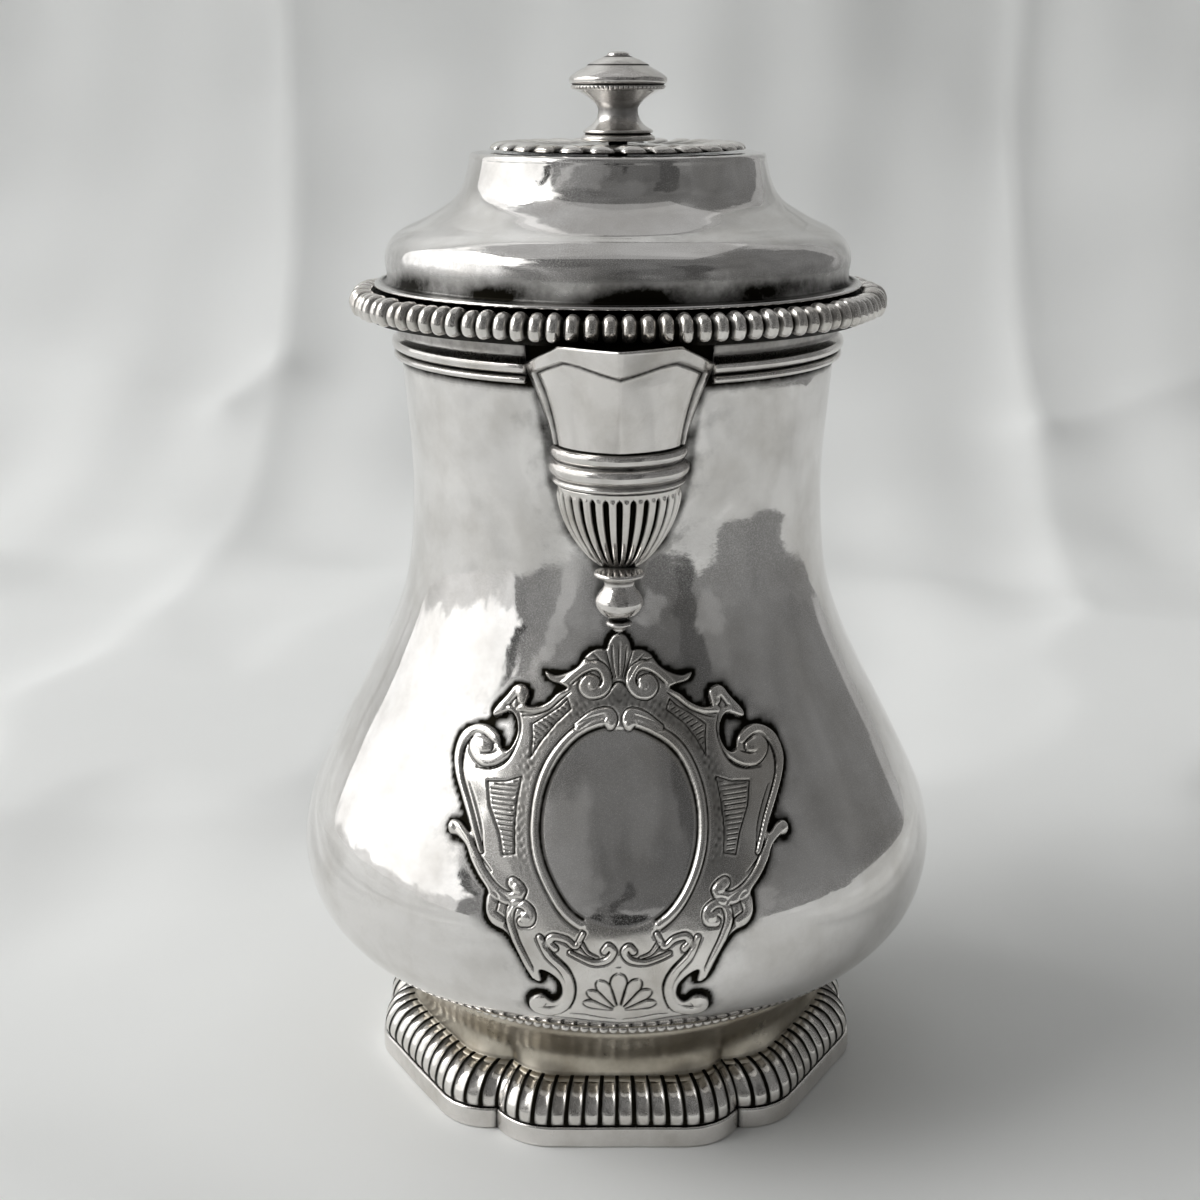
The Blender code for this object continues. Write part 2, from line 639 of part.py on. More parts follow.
def handle():
    """Carved fruitwood handle: two round tenons joined by an ear-shaped grip."""
    upper = socket_frame(UPPER_SOCKET_HEIGHT)
    lower = socket_frame(LOWER_SOCKET_HEIGHT)

    def on(frame, along):
        point = frame @ Vector((0.0, 0.0, along))
        return (point.y, point.z)
    back = HANDLE_REACH - HANDLE_DEPTH
    top = on(upper, SOCKET_LENGTH + 3)[1]
    foot = on(lower, SOCKET_LENGTH + 3)[1]
    height = top - foot
    start = on(upper, SOCKET_LENGTH + 3)[0]
    finish = on(lower, SOCKET_LENGTH + 3)[0]
    route = [on(upper, SOCKET_BASE + GAP), on(upper, 9.0), on(upper, SOCKET_LENGTH),
             on(upper, SOCKET_LENGTH + 3),
             (start + 0.45 * (back - start), top + 0.055 * height),
             (start + 0.80 * (back - start), top - 0.005 * height),
             (back - 1.0, top - 0.15 * height), (back, top - 0.33 * height),
             (back - 1.6, top - 0.53 * height), (back - 4.4, top - 0.71 * height),
             (finish + 0.55 * (back - finish), foot + 0.145 * height),
             (finish + 0.22 * (back - finish), foot + 0.03 * height),
             on(lower, SOCKET_LENGTH + 3), on(lower, SOCKET_LENGTH), on(lower, 8.0),
             on(lower, SOCKET_BASE + GAP)]
    path = smooth(route, 2)
    path = [Vector((0.0, p.x, p.y)) for p in path]
    tenon_rows = 6
    rows = []
    for i, point in enumerate(path):
        along = (path[min(i + 1, len(path) - 1)] - path[max(i - 1, 0)]).normalized()
        outward = Vector((1, 0, 0)).cross(along).normalized()
        inside = min(i, len(path) - 1 - i)
        grip = min(1.0, max(0.0, (inside - tenon_rows) / 3))
        wide = TENON_RADIUS + (HANDLE_HALF_WIDTH - TENON_RADIUS) * grip
        deep = TENON_RADIUS + (HANDLE_DEPTH - TENON_RADIUS) * grip
        turns = [math.tau * k / 12 for k in range(12)]
        rows.append([point + Vector((wide * math.cos(t), 0, 0)) + deep * math.sin(t) * outward
                     for t in turns])
    piece = make_object("handle", loft(rows), fruitwood, pot_axis)
    combine(piece, pin_drill("handle_upper_drill", upper), "DIFFERENCE")
    combine(piece, pin_drill("handle_lower_drill", lower), "DIFFERENCE")


# ---------------------------------------------------------------- hinge

def knuckle(name, half_width, offset, parent):
    return make_object(name, cylinder((offset - half_width, HINGE_REACH, HINGE_HEIGHT),
                                      (offset + half_width, HINGE_REACH, HINGE_HEIGHT), KNUCKLE_RADIUS),
                       silver, parent)


def pin_bore(name, parent):
    reach = CENTRE_KNUCKLE + SIDE_KNUCKLE + 4
    return make_object(name, cylinder((-reach, HINGE_REACH, HINGE_HEIGHT), (reach, HINGE_REACH, HINGE_HEIGHT),
                                      HINGE_PIN_RADIUS + HINGE_PLAY), silver, parent)


def hinge_bracket():
    """Bracket on the neck moulding with the pot's two knuckles."""
    side_middle = CENTRE_KNUCKLE / 2 + KNUCKLE_GAP + SIDE_KNUCKLE / 2
    half = CENTRE_KNUCKLE / 2 + KNUCKLE_GAP + SIDE_KNUCKLE
    top = HINGE_HEIGHT - KNUCKLE_RADIUS - 0.6
    front = MOULDING_RADIUS + GAP
    rear = HINGE_REACH + KNUCKLE_RADIUS - 0.3
    low = top - BRACKET_THICKNESS
    bar = [(front, top), (front, low - 1.2), (front + 2.5, low), (rear - 1.5, low),
           (rear, low + 1.2), (rear, top)]
    bracket = make_object("hinge_bracket", extruded(bar, half), silver, pot_axis)
    for name, offset in (("left", -side_middle), ("right", side_middle)):
        post = [(HINGE_REACH - 1.9, top - 0.8), (HINGE_REACH + 1.6, top - 0.8),
                (HINGE_REACH + 1.6, HINGE_HEIGHT), (HINGE_REACH - 1.9, HINGE_HEIGHT)]
        upright = extruded(post, SIDE_KNUCKLE / 2, offset)
        combine(bracket, make_object(name + "_post", upright, silver, pot_axis), "UNION")
        combine(bracket, knuckle(name + "_knuckle", SIDE_KNUCKLE / 2, offset, pot_axis), "UNION")
    combine(bracket, pin_bore("bracket_bore", pot_axis), "DIFFERENCE")


def hinge_pin():
    half = CENTRE_KNUCKLE / 2 + KNUCKLE_GAP + SIDE_KNUCKLE + 0.5
    bm = cylinder((-half, HINGE_REACH, HINGE_HEIGHT), (half, HINGE_REACH, HINGE_HEIGHT), HINGE_PIN_RADIUS)
    make_object("hinge_pin", bm, pin_silver, pot_axis)


def hinge_leaf():
    """Lid's knuckle with the tongue that is soldered to the back of the gadrooned ring."""
    reach = RING_RADIUS + 0.45
    middle = LID_SEAT + RING_HEIGHT / 2
    tongue = [(reach - 0.5, middle - 1.7), (reach, middle), (reach - 0.5, middle + 1.8),
              (reach + 1.0, middle + 2.6), (HINGE_REACH + 1.0, HINGE_HEIGHT + 1.8),
              (HINGE_REACH + 0.4, HINGE_HEIGHT), (HINGE_REACH - 1.6, HINGE_HEIGHT)]
    leaf = make_object("hinge_leaf", extruded(tongue, CENTRE_KNUCKLE / 2), silver, lid_hinge_axis)
    combine(leaf, knuckle("centre_knuckle", CENTRE_KNUCKLE / 2, 0.0, lid_hinge_axis), "UNION")
    combine(leaf, pin_bore("leaf_bore", lid_hinge_axis), "DIFFERENCE")


# ---------------------------------------------------------------- lid

def lid_dome():
    """Raised lid: flat top, upright drum, sweep, rolled shoulder and a narrow ledge."""
    base = LID_SEAT + RING_HEIGHT
    top = LID_TOP
    rise = top - base
    drum, shoulder = DRUM_RADIUS, SHOULDER_RADIUS
    spread = shoulder - drum
    curve = [(drum - 0.9, 1.0), (drum - 0.2, 0.985), (drum, 0.93), (drum + 0.04 * spread, 0.82),
             (drum + 0.10 * spread, 0.72), (drum + 0.21 * spread, 0.63), (drum + 0.38 * spread, 0.555),
             (drum + 0.57 * spread, 0.485), (drum + 0.77 * spread, 0.425), (drum + 0.91 * spread, 0.355),
             (drum + 0.98 * spread, 0.28), (shoulder, 0.19), (shoulder - 0.3, 0.10), (shoulder - 0.2, 0.03)]
    hole = STUD_RADIUS + GAP
    outer = [(hole, top)] + [(r, base + rise * h) for r, h in curve]
    outer += [(LEDGE_RADIUS - 0.3, base + 0.55), (LEDGE_RADIUS, base + 0.2), (LEDGE_RADIUS, base - 0.2)]
    inner = [(hole, top - LID_SHEET)]
    for i in range(1, len(curve) - 1, 2):
        along = (Vector(outer[i + 2]) - Vector(outer[i])).normalized()
        shifted = Vector(outer[i + 1]) + LID_SHEET * Vector((along.y, -along.x))
        inner.append((shifted.x, shifted.y))
    inner.append((shoulder - 1.3, base + 0.2))
    inner.append((shoulder - 1.3, base - 0.2))
    profile = outer + list(reversed(inner))
    make_object("lid_dome", turned(profile, ROUND_STEPS), silver, lid_hinge_axis)


def lid_gadroon_ring():
    """Heavy cast ring under the ledge."""
    low = LID_SEAT
    height = RING_HEIGHT - GAP
    bore = MOUTH_RADIUS + RING_BORE_STEP
    section = [(bore, low), (RING_RADIUS - 1.6, low), (RING_RADIUS - 0.4, low + 0.24 * height),
               (RING_RADIUS, low + 0.55 * height), (RING_RADIUS - 0.7, low + 0.82 * height),
               (RING_RADIUS - 2.2, low + 0.98 * height), (LEDGE_RADIUS + 0.5, low + 1.0 * height),
               (LEDGE_RADIUS + 0.2, low + 0.95 * height), (bore, low + 0.95 * height)]
    make_object("lid_gadroon_ring", turned(section, ROUND_STEPS), chased_silver, lid_hinge_axis)


def lid_bezel():
    """Upright collar that drops into the mouth and centres the lid."""
    radius = MOUTH_RADIUS - BODY_WALL - BEZEL_PLAY
    flange = MOUTH_RADIUS + RING_BORE_STEP - GAP
    low = LID_SEAT
    section = [(radius, low), (radius, low - BEZEL_DEPTH), (radius - BEZEL_WALL, low - BEZEL_DEPTH),
               (radius - BEZEL_WALL, low + BEZEL_WALL), (flange, low + BEZEL_WALL), (flange, low)]
    make_object("lid_bezel", turned(section, ROUND_STEPS), silver, lid_hinge_axis)


def rosette():
    """Cut-card disc with a swirled, scalloped edge, laid on the lid's flat top."""
    hole = STUD_RADIUS + GAP
    thick = ROSETTE_THICKNESS
    section = [(hole, 0.0), (ROSETTE_RADIUS - 0.5, 0.0), (ROSETTE_RADIUS, 0.4 * thick),
               (ROSETTE_RADIUS - 0.4, 0.8 * thick), (ROSETTE_RADIUS - 1.6, thick), (hole, thick)]
    bm = turned([(r, ROSETTE_BASE + z) for r, z in section], ROUND_STEPS)
    make_object("rosette", bm, chased_silver, lid_hinge_axis)


def finial():
    """Turned mushroom knob with a threaded stud below."""
    wide = FINIAL_RADIUS
    shape = [(0.0, 1.0), (0.22, 0.981), (0.28, 0.937), (0.55, 0.867), (0.75, 0.785), (0.92, 0.734),
             (1.0, 0.677), (0.97, 0.614), (0.83, 0.57), (0.59, 0.487), (0.46, 0.418), (0.415, 0.342),
             (0.44, 0.253), (0.55, 0.171), (0.69, 0.12), (0.70, 0.089), (0.755, 0.063),
             (0.755, 0.013), (0.70, 0.0)]
    section = [(wide * r, FINIAL_BASE + FINIAL_HEIGHT * h) for r, h in shape]
    stud_end = FINIAL_BASE - STUD_LENGTH
    section += [(STUD_RADIUS, FINIAL_BASE), (STUD_RADIUS, stud_end), (0.0, stud_end)]
    make_object("finial", turned(section, 20), silver, lid_hinge_axis)


def finial_washer():
    """Washer on the stud, under the lid's flat top."""
    top = LID_TOP - LID_SHEET - GAP
    low = top - WASHER_THICKNESS
    hole = STUD_RADIUS + GAP
    section = [(hole, top), (WASHER_RADIUS, top), (WASHER_RADIUS, low), (hole, low)]
    make_object("finial_washer", turned(section), pin_silver, lid_hinge_axis)


def finial_nut():
    """Six-sided nut that draws the knob down on the lid."""
    top = LID_TOP - LID_SHEET - GAP - WASHER_THICKNESS - GAP
    sides = 6
    turns = [math.tau * i / (4 * sides) for i in range(4 * sides)]
    outer, inner = [], []
    for height in (top, top - NUT_THICKNESS):
        flats = [math.cos(math.pi / sides) / math.cos(turn % (math.tau / sides) - math.pi / sides)
                 for turn in turns]
        outer.append([around(turn, NUT_RADIUS * flat, height) for turn, flat in zip(turns, flats)])
        inner.append([around(turn, STUD_RADIUS + GAP, height) for turn in turns])
    make_object("finial_nut", thick_sheet(outer, inner, wrap=True), pin_silver, lid_hinge_axis)


foot_plinth()
foot_gadroon_border()
foot_collar()
body_shell()
bead_ring()
neck_moulding()
spout_lip()
spout_band()
spout_cup()
spout_drop()
cartouche()
attachment_plate("handle_upper_plate", UPPER_SOCKET_HEIGHT)
attachment_plate("handle_lower_plate", LOWER_SOCKET_HEIGHT)
socket("handle_upper_socket", UPPER_SOCKET_HEIGHT)
socket("handle_lower_socket", LOWER_SOCKET_HEIGHT)
socket_pin("handle_upper_pin", UPPER_SOCKET_HEIGHT)
socket_pin("handle_lower_pin", LOWER_SOCKET_HEIGHT)
handle()
hinge_bracket()
hinge_pin()
lid_dome()
lid_gadroon_ring()
lid_bezel()
rosette()
finial()
finial_washer()
finial_nut()
hinge_leaf()
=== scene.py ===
"""A small silver coffee pot in the French taste: a pear-shaped body on a six-lobed foot, with a
beaked spout, an applied cartouche, a hinged domed lid and a fruitwood handle at the back.

Pieces are shaped in millimetres round the pot's own upright axis, and come in the order in
which the pot is put together, from the foot up.
"""
import math

import bmesh
import bpy
import numpy as np
from mathutils import Matrix, Vector


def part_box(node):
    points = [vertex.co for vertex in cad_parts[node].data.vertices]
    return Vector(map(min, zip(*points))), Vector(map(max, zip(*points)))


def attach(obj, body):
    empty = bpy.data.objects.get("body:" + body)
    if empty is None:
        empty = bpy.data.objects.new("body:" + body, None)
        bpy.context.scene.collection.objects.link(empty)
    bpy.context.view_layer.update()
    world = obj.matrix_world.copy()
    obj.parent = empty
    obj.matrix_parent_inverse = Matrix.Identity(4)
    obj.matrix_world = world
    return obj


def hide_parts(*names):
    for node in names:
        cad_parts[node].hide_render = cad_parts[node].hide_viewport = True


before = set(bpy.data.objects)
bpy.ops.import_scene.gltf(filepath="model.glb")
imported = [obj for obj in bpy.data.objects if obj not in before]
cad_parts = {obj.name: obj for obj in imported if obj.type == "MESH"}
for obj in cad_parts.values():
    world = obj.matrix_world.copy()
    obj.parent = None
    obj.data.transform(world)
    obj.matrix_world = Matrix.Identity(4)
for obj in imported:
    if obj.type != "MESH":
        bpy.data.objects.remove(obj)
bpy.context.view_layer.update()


# ------------------------------------------------------------------------------ foot plinth
# The upright band the pot stands on: six straight sides with rounded ends that meet in
# notches. Sterling silver strip, bent to the outline, soldered, and worn soft along its edges.

LOBES = 6


def in_mm(corners):
    """The lowest and the highest corner of a box, in millimetres."""
    return [1000 * np.array(corner) for corner in corners]


plinth_low, plinth_high = in_mm(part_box("foot_plinth"))
AXIS_Y = (plinth_low[1] + plinth_high[1]) / 2
FOOT_APOTHEM = (plinth_high[1] - plinth_low[1]) / 2
FOOT_NOTCH = FOOT_APOTHEM - 0.6      # axis to a notch
FOOT_STRAIGHT = 12.5                 # half the straight run of a side
PLINTH_HEIGHT = plinth_high[2]
PLINTH_WALL = 2.0


def linear(code):
    """An sRGB hex colour as linear red, green, blue and alpha."""
    shares = [int(code[i:i + 2], 16) / 255 for i in (1, 3, 5)]
    return [s / 12.92 if s <= 0.04045 else ((s + 0.055) / 1.055) ** 2.4 for s in shares] + [1.0]


def add(tree, kind, inputs=None, **settings):
    """Add a shader node; its inputs are values or other nodes' outputs, by name or number."""
    made = tree.nodes.new("ShaderNode" + kind)
    for name, value in settings.items():
        setattr(made, name, value)
    for name, value in (inputs or {}).items():
        if isinstance(value, bpy.types.NodeSocket):
            tree.links.new(value, made.inputs[name])
        else:
            made.inputs[name].default_value = value
    return made


def per_size(millimetres):
    """Texture scale that gives a pattern this size."""
    return 1000.0 / millimetres


def silver(name, clean, dull, polish, rubbed, hazy=0.45, tarnish_and_shade_colour="#17150F"):
    """Sterling silver, hammered or cast and then rubbed bright by hand for a long time.

    The eye gets mirror patches with soft dull clouds, hair scratches, small dents, and black
    sulphide left in the recesses where the cloth doesn't reach; the same dark mark is also painted
    shade along some joints and edges. Between the mirror patches lie countless fine rubbed specks,
    too small to see singly, that veil the reflections.
    """
    made = bpy.data.materials.new(name)
    made.use_nodes = True
    tree = made.node_tree
    shader = tree.nodes["Principled BSDF"]
    shader.inputs["Metallic"].default_value = 1.0
    place = add(tree, "TexCoord").outputs["Object"]
    cloud = add(tree, "TexNoise", {"Vector": place, "Scale": per_size(14), "Detail": 5.0,
                                   "Roughness": 0.62}).outputs["Fac"]
    smear = add(tree, "TexNoise", {"Vector": place, "Scale": per_size(2.2), "Detail": 4.0,
                                   "Roughness": 0.7}).outputs["Fac"]
    tarnish_and_shade = add(tree, "Attribute", attribute_name="tarnish_and_shade").outputs["Fac"]
    ragged = add(tree, "Math", {0: smear, 1: 0.50, 2: -0.25}, operation="MULTIPLY_ADD").outputs[0]
    # The dark mark: sulphide in the hollows, and painted shade along some joints and edges.
    tarnish_and_shade_amount = add(tree, "Math", {0: tarnish_and_shade, 1: ragged}, operation="ADD").outputs[0]
    tarnish_and_shade_amount = add(tree, "MapRange", {"Value": tarnish_and_shade_amount, "From Min": 0.06, "From Max": 0.92}).outputs[0]
    held = add(tree, "Math", {0: tarnish_and_shade, 1: 12.0}, operation="MULTIPLY", use_clamp=True).outputs[0]
    tarnish_and_shade_amount = add(tree, "Math", {0: tarnish_and_shade_amount, 1: held}, operation="MULTIPLY").outputs[0]
    clouded = add(tree, "MapRange", {"Value": cloud, "From Min": 0.42, "From Max": 0.72}).outputs[0]
    skin = add(tree, "Mix", {0: clouded, 6: linear(clean), 7: linear(dull)}, data_type="RGBA")
    coloured = add(tree, "Mix", {0: tarnish_and_shade_amount, 6: skin.outputs[2], 7: linear(tarnish_and_shade_colour)},
                   data_type="RGBA")
    tree.links.new(coloured.outputs[2], shader.inputs["Base Color"])
    sheen = add(tree, "MapRange", {"Value": cloud, "From Min": 0.35, "From Max": 0.75,
                                   "To Min": polish, "To Max": rubbed}).outputs[0]
    specks = add(tree, "TexNoise", {"Vector": place, "Scale": per_size(0.08), "Detail": 1.0})
    veil = add(tree, "MapRange", {"Value": specks.outputs["Fac"], "From Min": 0.60 - 0.12 * hazy,
                                  "From Max": 0.68 - 0.12 * hazy}).outputs[0]
    veiled = add(tree, "Mix", {0: veil, 2: sheen, 3: 0.36}).outputs[0]
    rough = add(tree, "Mix", {0: tarnish_and_shade_amount, 2: veiled, 3: 0.60}).outputs[0]
    tree.links.new(rough, shader.inputs["Roughness"])
    # Hair scratches are really some hundredths of a millimetre apart; they are drawn coarser.
    turned = add(tree, "Mapping", {"Vector": place, "Rotation": (0.5, 0.3, 0.9),
                                   "Scale": (1.0, 0.12, 1.0)}).outputs[0]
    scratch = add(tree, "TexNoise", {"Vector": turned, "Scale": per_size(0.5),
                                     "Detail": 3.0}).outputs["Fac"]
    dents = add(tree, "TexNoise", {"Vector": place, "Scale": per_size(3.5), "Detail": 2.0,
                                   "Roughness": 0.45}).outputs["Fac"]
    fine = add(tree, "Bump", {"Height": scratch, "Strength": 1.0, "Distance": 0.0000016})
    soft = add(tree, "Bump", {"Height": dents, "Strength": 1.0, "Distance": 0.000012,
                              "Normal": fine.outputs[0]})
    tree.links.new(soft.outputs[0], shader.inputs["Normal"])
    return made


def unevenness(points, size, seed):
    """Smooth hand-made unevenness, roughly between -1 and 1, in swells about size mm across."""
    draw = np.random.default_rng(seed)
    total = np.zeros(points.shape[:-1])
    for _ in range(9):
        way = draw.normal(size=points.shape[-1])
        way /= np.linalg.norm(way)
        length = size * draw.uniform(1.4, 2.8)
        total += np.sin(points @ way * math.tau / length + draw.uniform(0, math.tau))
    return total / 3.2           # nine waves together seldom pass this


def unit(ways):
    """Directions in a plane, each made one long."""
    return ways / np.linalg.norm(ways, axis=1)[:, None]


def full_turn(count):
    """Azimuths of count places spaced evenly round the axis, in radians."""
    return np.arange(count) * math.tau / count


def around(azimuth, radius, height):
    """Points at an azimuth in radians from the spout's side (-Y), turning towards +X."""
    azimuth, radius, height = np.broadcast_arrays(azimuth, radius, height)
    return np.stack([radius * np.sin(azimuth), -radius * np.cos(azimuth), height], -1)


def rounded(outline, radius, steps=3, closed=True):
    """An outline with each corner rounded, starting at most radius from the corner."""
    outline = np.asarray(outline, float)
    count = len(outline)
    made = []
    for i, corner in enumerate(outline):
        if not closed and i in (0, count - 1):
            made.append(corner)
            continue
        to_last, to_next = outline[i - 1] - corner, outline[(i + 1) % count] - corner
        start = corner + to_last * min(0.49, radius / np.linalg.norm(to_last))
        end = corner + to_next * min(0.49, radius / np.linalg.norm(to_next))
        for t in np.linspace(0, 1, steps + 1):
            made.append((1 - t) ** 2 * start + 2 * t * (1 - t) * corner + t * t * end)
    return np.array(made)


def flowing(points, steps):
    """A smooth curve through points, with steps spans between each pair."""
    points = np.asarray(points, float)
    line = np.vstack([2 * points[0] - points[1], points, 2 * points[-1] - points[-2]])
    t = (np.arange(steps) / steps)[:, None]
    curve = [b + 0.5 * t * ((c - a) + t * ((2 * a - 5 * b + 4 * c - d) + t * (3 * (b - c) + d - a)))
             for a, b, c, d in zip(line, line[1:], line[2:], line[3:])]
    return np.vstack(curve + [points[-1:]])


def quads(rows, columns, wrap_rows=True, wrap_columns=True):
    """Four-cornered faces over a grid of points that are numbered row by row."""
    numbers = np.arange(rows * columns).reshape(rows, columns)
    if wrap_rows:
        numbers = np.vstack([numbers, numbers[:1]])
    if wrap_columns:
        numbers = np.hstack([numbers, numbers[:, :1]])
    corners = [numbers[:-1, :-1], numbers[:-1, 1:], numbers[1:, 1:], numbers[1:, :-1]]
    return np.stack(corners, -1).reshape(-1, 4).tolist()


def piece(name, points, faces, finish, body, nodes, tarnish_and_shade=None):
    """A finished piece, from points in mm round the pot's axis, that stands for CAD nodes."""
    points = np.asarray(points, float).reshape(-1, 3)
    mesh = bpy.data.meshes.new(name)
    mesh.from_pydata(((points + (0, AXIS_Y, 0)) / 1000).tolist(), [], faces)
    layer = mesh.attributes.new("tarnish_and_shade", "FLOAT", "POINT")
    if tarnish_and_shade is not None:
        layer.data.foreach_set("value", np.clip(tarnish_and_shade, 0, 1).astype(np.float32).ravel())
    bm = bmesh.new()
    bm.from_mesh(mesh)
    bmesh.ops.remove_doubles(bm, verts=bm.verts, dist=2e-7)
    bmesh.ops.delete(bm, geom=[e for e in bm.edges if not e.link_faces], context="EDGES")
    bmesh.ops.recalc_face_normals(bm, faces=bm.faces)
    bm.to_mesh(mesh)
    bm.free()
    mesh.shade_smooth()
    mesh.materials.append(finish)
    made = bpy.data.objects.new(name, mesh)
    bpy.context.scene.collection.objects.link(made)
    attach(made, body)
    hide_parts(*nodes)
    return made


def lobed(apothem, notch, straight, per_lobe):
    """Radius and azimuth of points spaced evenly along the foot's outline."""
    notch_x, notch_y = notch * math.sin(math.pi / LOBES), notch * math.cos(math.pi / LOBES)
    turn_in = 0.93           # how far round its quarter turn a side's end is when it meets the next
    x = np.linspace(-notch_x, notch_x, 801)
    share = turn_in * np.clip((abs(x) - straight) / (notch_x - straight), 0, 1)
    fall = (1 - np.sqrt(1 - share ** 2)) / (1 - math.sqrt(1 - turn_in ** 2))
    y = apothem - (apothem - notch_y) * fall
    along = np.r_[0, np.cumsum(np.hypot(np.diff(x), np.diff(y)))]
    even = np.linspace(0, along[-1], per_lobe, endpoint=False)
    x, y = np.interp(even, along, x), np.interp(even, along, y)
    turns = np.arctan2(x, y) + math.tau * np.arange(LOBES)[:, None] / LOBES
    return np.tile(np.hypot(x, y), LOBES), turns.ravel()


# Worn sterling: bright, with a soft grey haze on the flat of the strip.
plinth_silver = silver("worn_sterling_silver", "#E7E4E1", "#C7C3BD", 0.08, 0.18)

PLINTH_COLUMNS = 80
section = rounded([(0.0, 0.0), (0.0, PLINTH_HEIGHT), (PLINTH_WALL, PLINTH_HEIGHT),
                   (PLINTH_WALL, 0.0)], 0.55, 4)
rows = []
for inset, height in section:
    radius, turn = lobed(FOOT_APOTHEM - inset, FOOT_NOTCH - inset, FOOT_STRAIGHT, PLINTH_COLUMNS)
    rows.append(around(turn, radius, height))
plinth = np.array(rows)
ripple = 0.07 * unevenness(plinth, 9, 3)[..., None] * (1, 1, 0)      # level rows, wavy sides
plinth_dark = np.zeros(plinth.shape[:2])
plinth_dark[section[:, 0] > 0.75] = 1.0
half_side = PLINTH_COLUMNS / 2
notch_near = abs((np.arange(plinth.shape[1]) + half_side) % PLINTH_COLUMNS - half_side)
plinth_dark = np.maximum(plinth_dark, np.exp(-(notch_near / 0.9) ** 2))
piece("foot_plinth_band", plinth + ripple, quads(*plinth.shape[:2]), plinth_silver, "pot",
      ["foot_plinth"], plinth_dark)


# -------------------------------------------------------------------- gadrooned foot border
# A heavy border of ninety-six upright gadroons, sixteen to a side, that climbs inwards from
# the plinth. Cast silver, chased up by hand, so no two gadroons are quite alike.

GADROONS_PER_LOBE = 16
GADROON_STEPS = 14               # columns across a gadroon
GADROON_DEPTH = 1.15
border_low, border_high = in_mm(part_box("foot_gadroon_border"))
COLLAR_APOTHEM = 41.2
COLLAR_NOTCH = 40.2
COLLAR_STRAIGHT = 10.6
BORDER_INNER = 1.6               # how far the border's inner edge runs in under the collar
BORDER_INSET = 0.5               # from the plinth's face to the border's foot

# Cast and chased sterling: rubbed bright on the crests and nearly black between them.
cast_silver = silver("cast_sterling_silver", "#EBE8E4", "#C5C0B9", 0.08, 0.20, 0.55)


def gadroon_swell(across, along, draw_width=0.80):
    """Height of a gadroon, 0 to 1: across runs -1 to 1 over its width, along 0 to 1."""
    end = np.clip(1 - abs(2 * along - 1) ** 5, 0, 1) ** 0.5
    width = draw_width * (0.72 + 0.28 * end)
    return np.clip(1 - (abs(across) / width) ** 2, 0, 1) ** 0.5 * end


def hand_made(count, steps, seed):
    """For each column round a gadrooned piece: its place across its gadroon and its size."""
    draw = np.random.default_rng(seed)
    column = np.arange(count * steps)
    across = (column % steps + 0.5) / steps * 2 - 1
    shift = np.repeat(draw.normal(0, 0.05, count), steps)
    size = np.repeat(draw.normal(1.0, 0.06, count), steps)
    return across + shift * (1 - across ** 2), size


per_lobe = GADROONS_PER_LOBE * GADROON_STEPS
across, size = hand_made(GADROONS_PER_LOBE * LOBES, GADROON_STEPS, 11)
climb = flowing([(1.0, 0.0), (1.02, 0.22), (0.93, 0.50), (0.72, 0.79), (0.40, 0.97), (0.0, 1.0)], 6)
outward = np.gradient(climb, axis=0) @ np.array([[0, -1], [1, 0]])
outward /= -np.linalg.norm(outward, axis=1)[:, None]


def border_row(share, height, inset):
    """One row of the foot's border, from its inner edge (share 0) to its foot (share 1)."""
    def between(inner, outer):
        return inner + (outer - inner) * share - inset
    radius, turn = lobed(between(COLLAR_APOTHEM - BORDER_INNER, FOOT_APOTHEM - BORDER_INSET),
                         between(COLLAR_NOTCH - BORDER_INNER, FOOT_NOTCH - BORDER_INSET),
                         between(COLLAR_STRAIGHT, FOOT_STRAIGHT) + inset, per_lobe)
    return around(turn, radius, height)


rows, dark = [], []
rise = border_high[2] - border_low[2]
for k, (share, lift) in enumerate(climb):
    row = border_row(share, border_low[2] + rise * lift, 0.0)
    swell = gadroon_swell(across, k / (len(climb) - 1)) * size
    sink = GADROON_DEPTH * (swell - 1.0)
    run = np.hypot(row[:, 0], row[:, 1])[:, None]
    level = np.hstack([row[:, :2] / run, np.zeros((len(row), 1))])
    push = sink[:, None] * (max(outward[k, 0], 0) * level + outward[k, 1] * np.array([0, 0, 1.0]))
    push[:, 2] = np.maximum(push[:, 2], border_low[2] - row[:, 2])
    rows.append(row + push)
    dark.append(1.15 - 1.5 * swell)
for share, height in ((0.12, border_high[2] - 1.9), (0.62, border_low[2] + 1.6), (0.80, border_low[2])):
    rows.append(border_row(share, height, 0.0))
    dark.append(np.ones(len(across)))
border = np.array(rows)
piece("foot_gadroons", border, quads(*border.shape[:2]), cast_silver, "pot",
      ["foot_gadroon_border"], np.array(dark))


# ------------------------------------------------------------------------------ foot collar
# The neck of the foot: six-sided like the border where it springs, round where it carries
# the body. Raised sheet, left a little dull and warm because no cloth gets under the belly,
# and coloured darker still as painted shade from the belly above it.

collar_low, collar_high = in_mm(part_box("foot_collar"))
COLLAR_COLUMNS = 64
COLLAR_SHEET = 1.0

# Unpolished sterling: silky rather than bright, with a straw tint from old tarnish, and darker as
# painted shade for the collar's place under the belly.
dull_silver_darkened_as_shade = silver("silky_sterling_silver_painted_shade", "#C6BFB1", "#958B7B", 0.26, 0.40, 0.9)

collar_path = flowing([(0.0, 0.0, COLLAR_APOTHEM), (0.12, 0.35, 40.9), (0.32, 0.80, 41.3),
                       (0.52, 1.0, 42.6), (0.72, 1.0, 44.3), (0.87, 1.0, 45.6),
                       (0.96, 1.0, 45.3), (1.0, 1.0, 44.7)], 6)


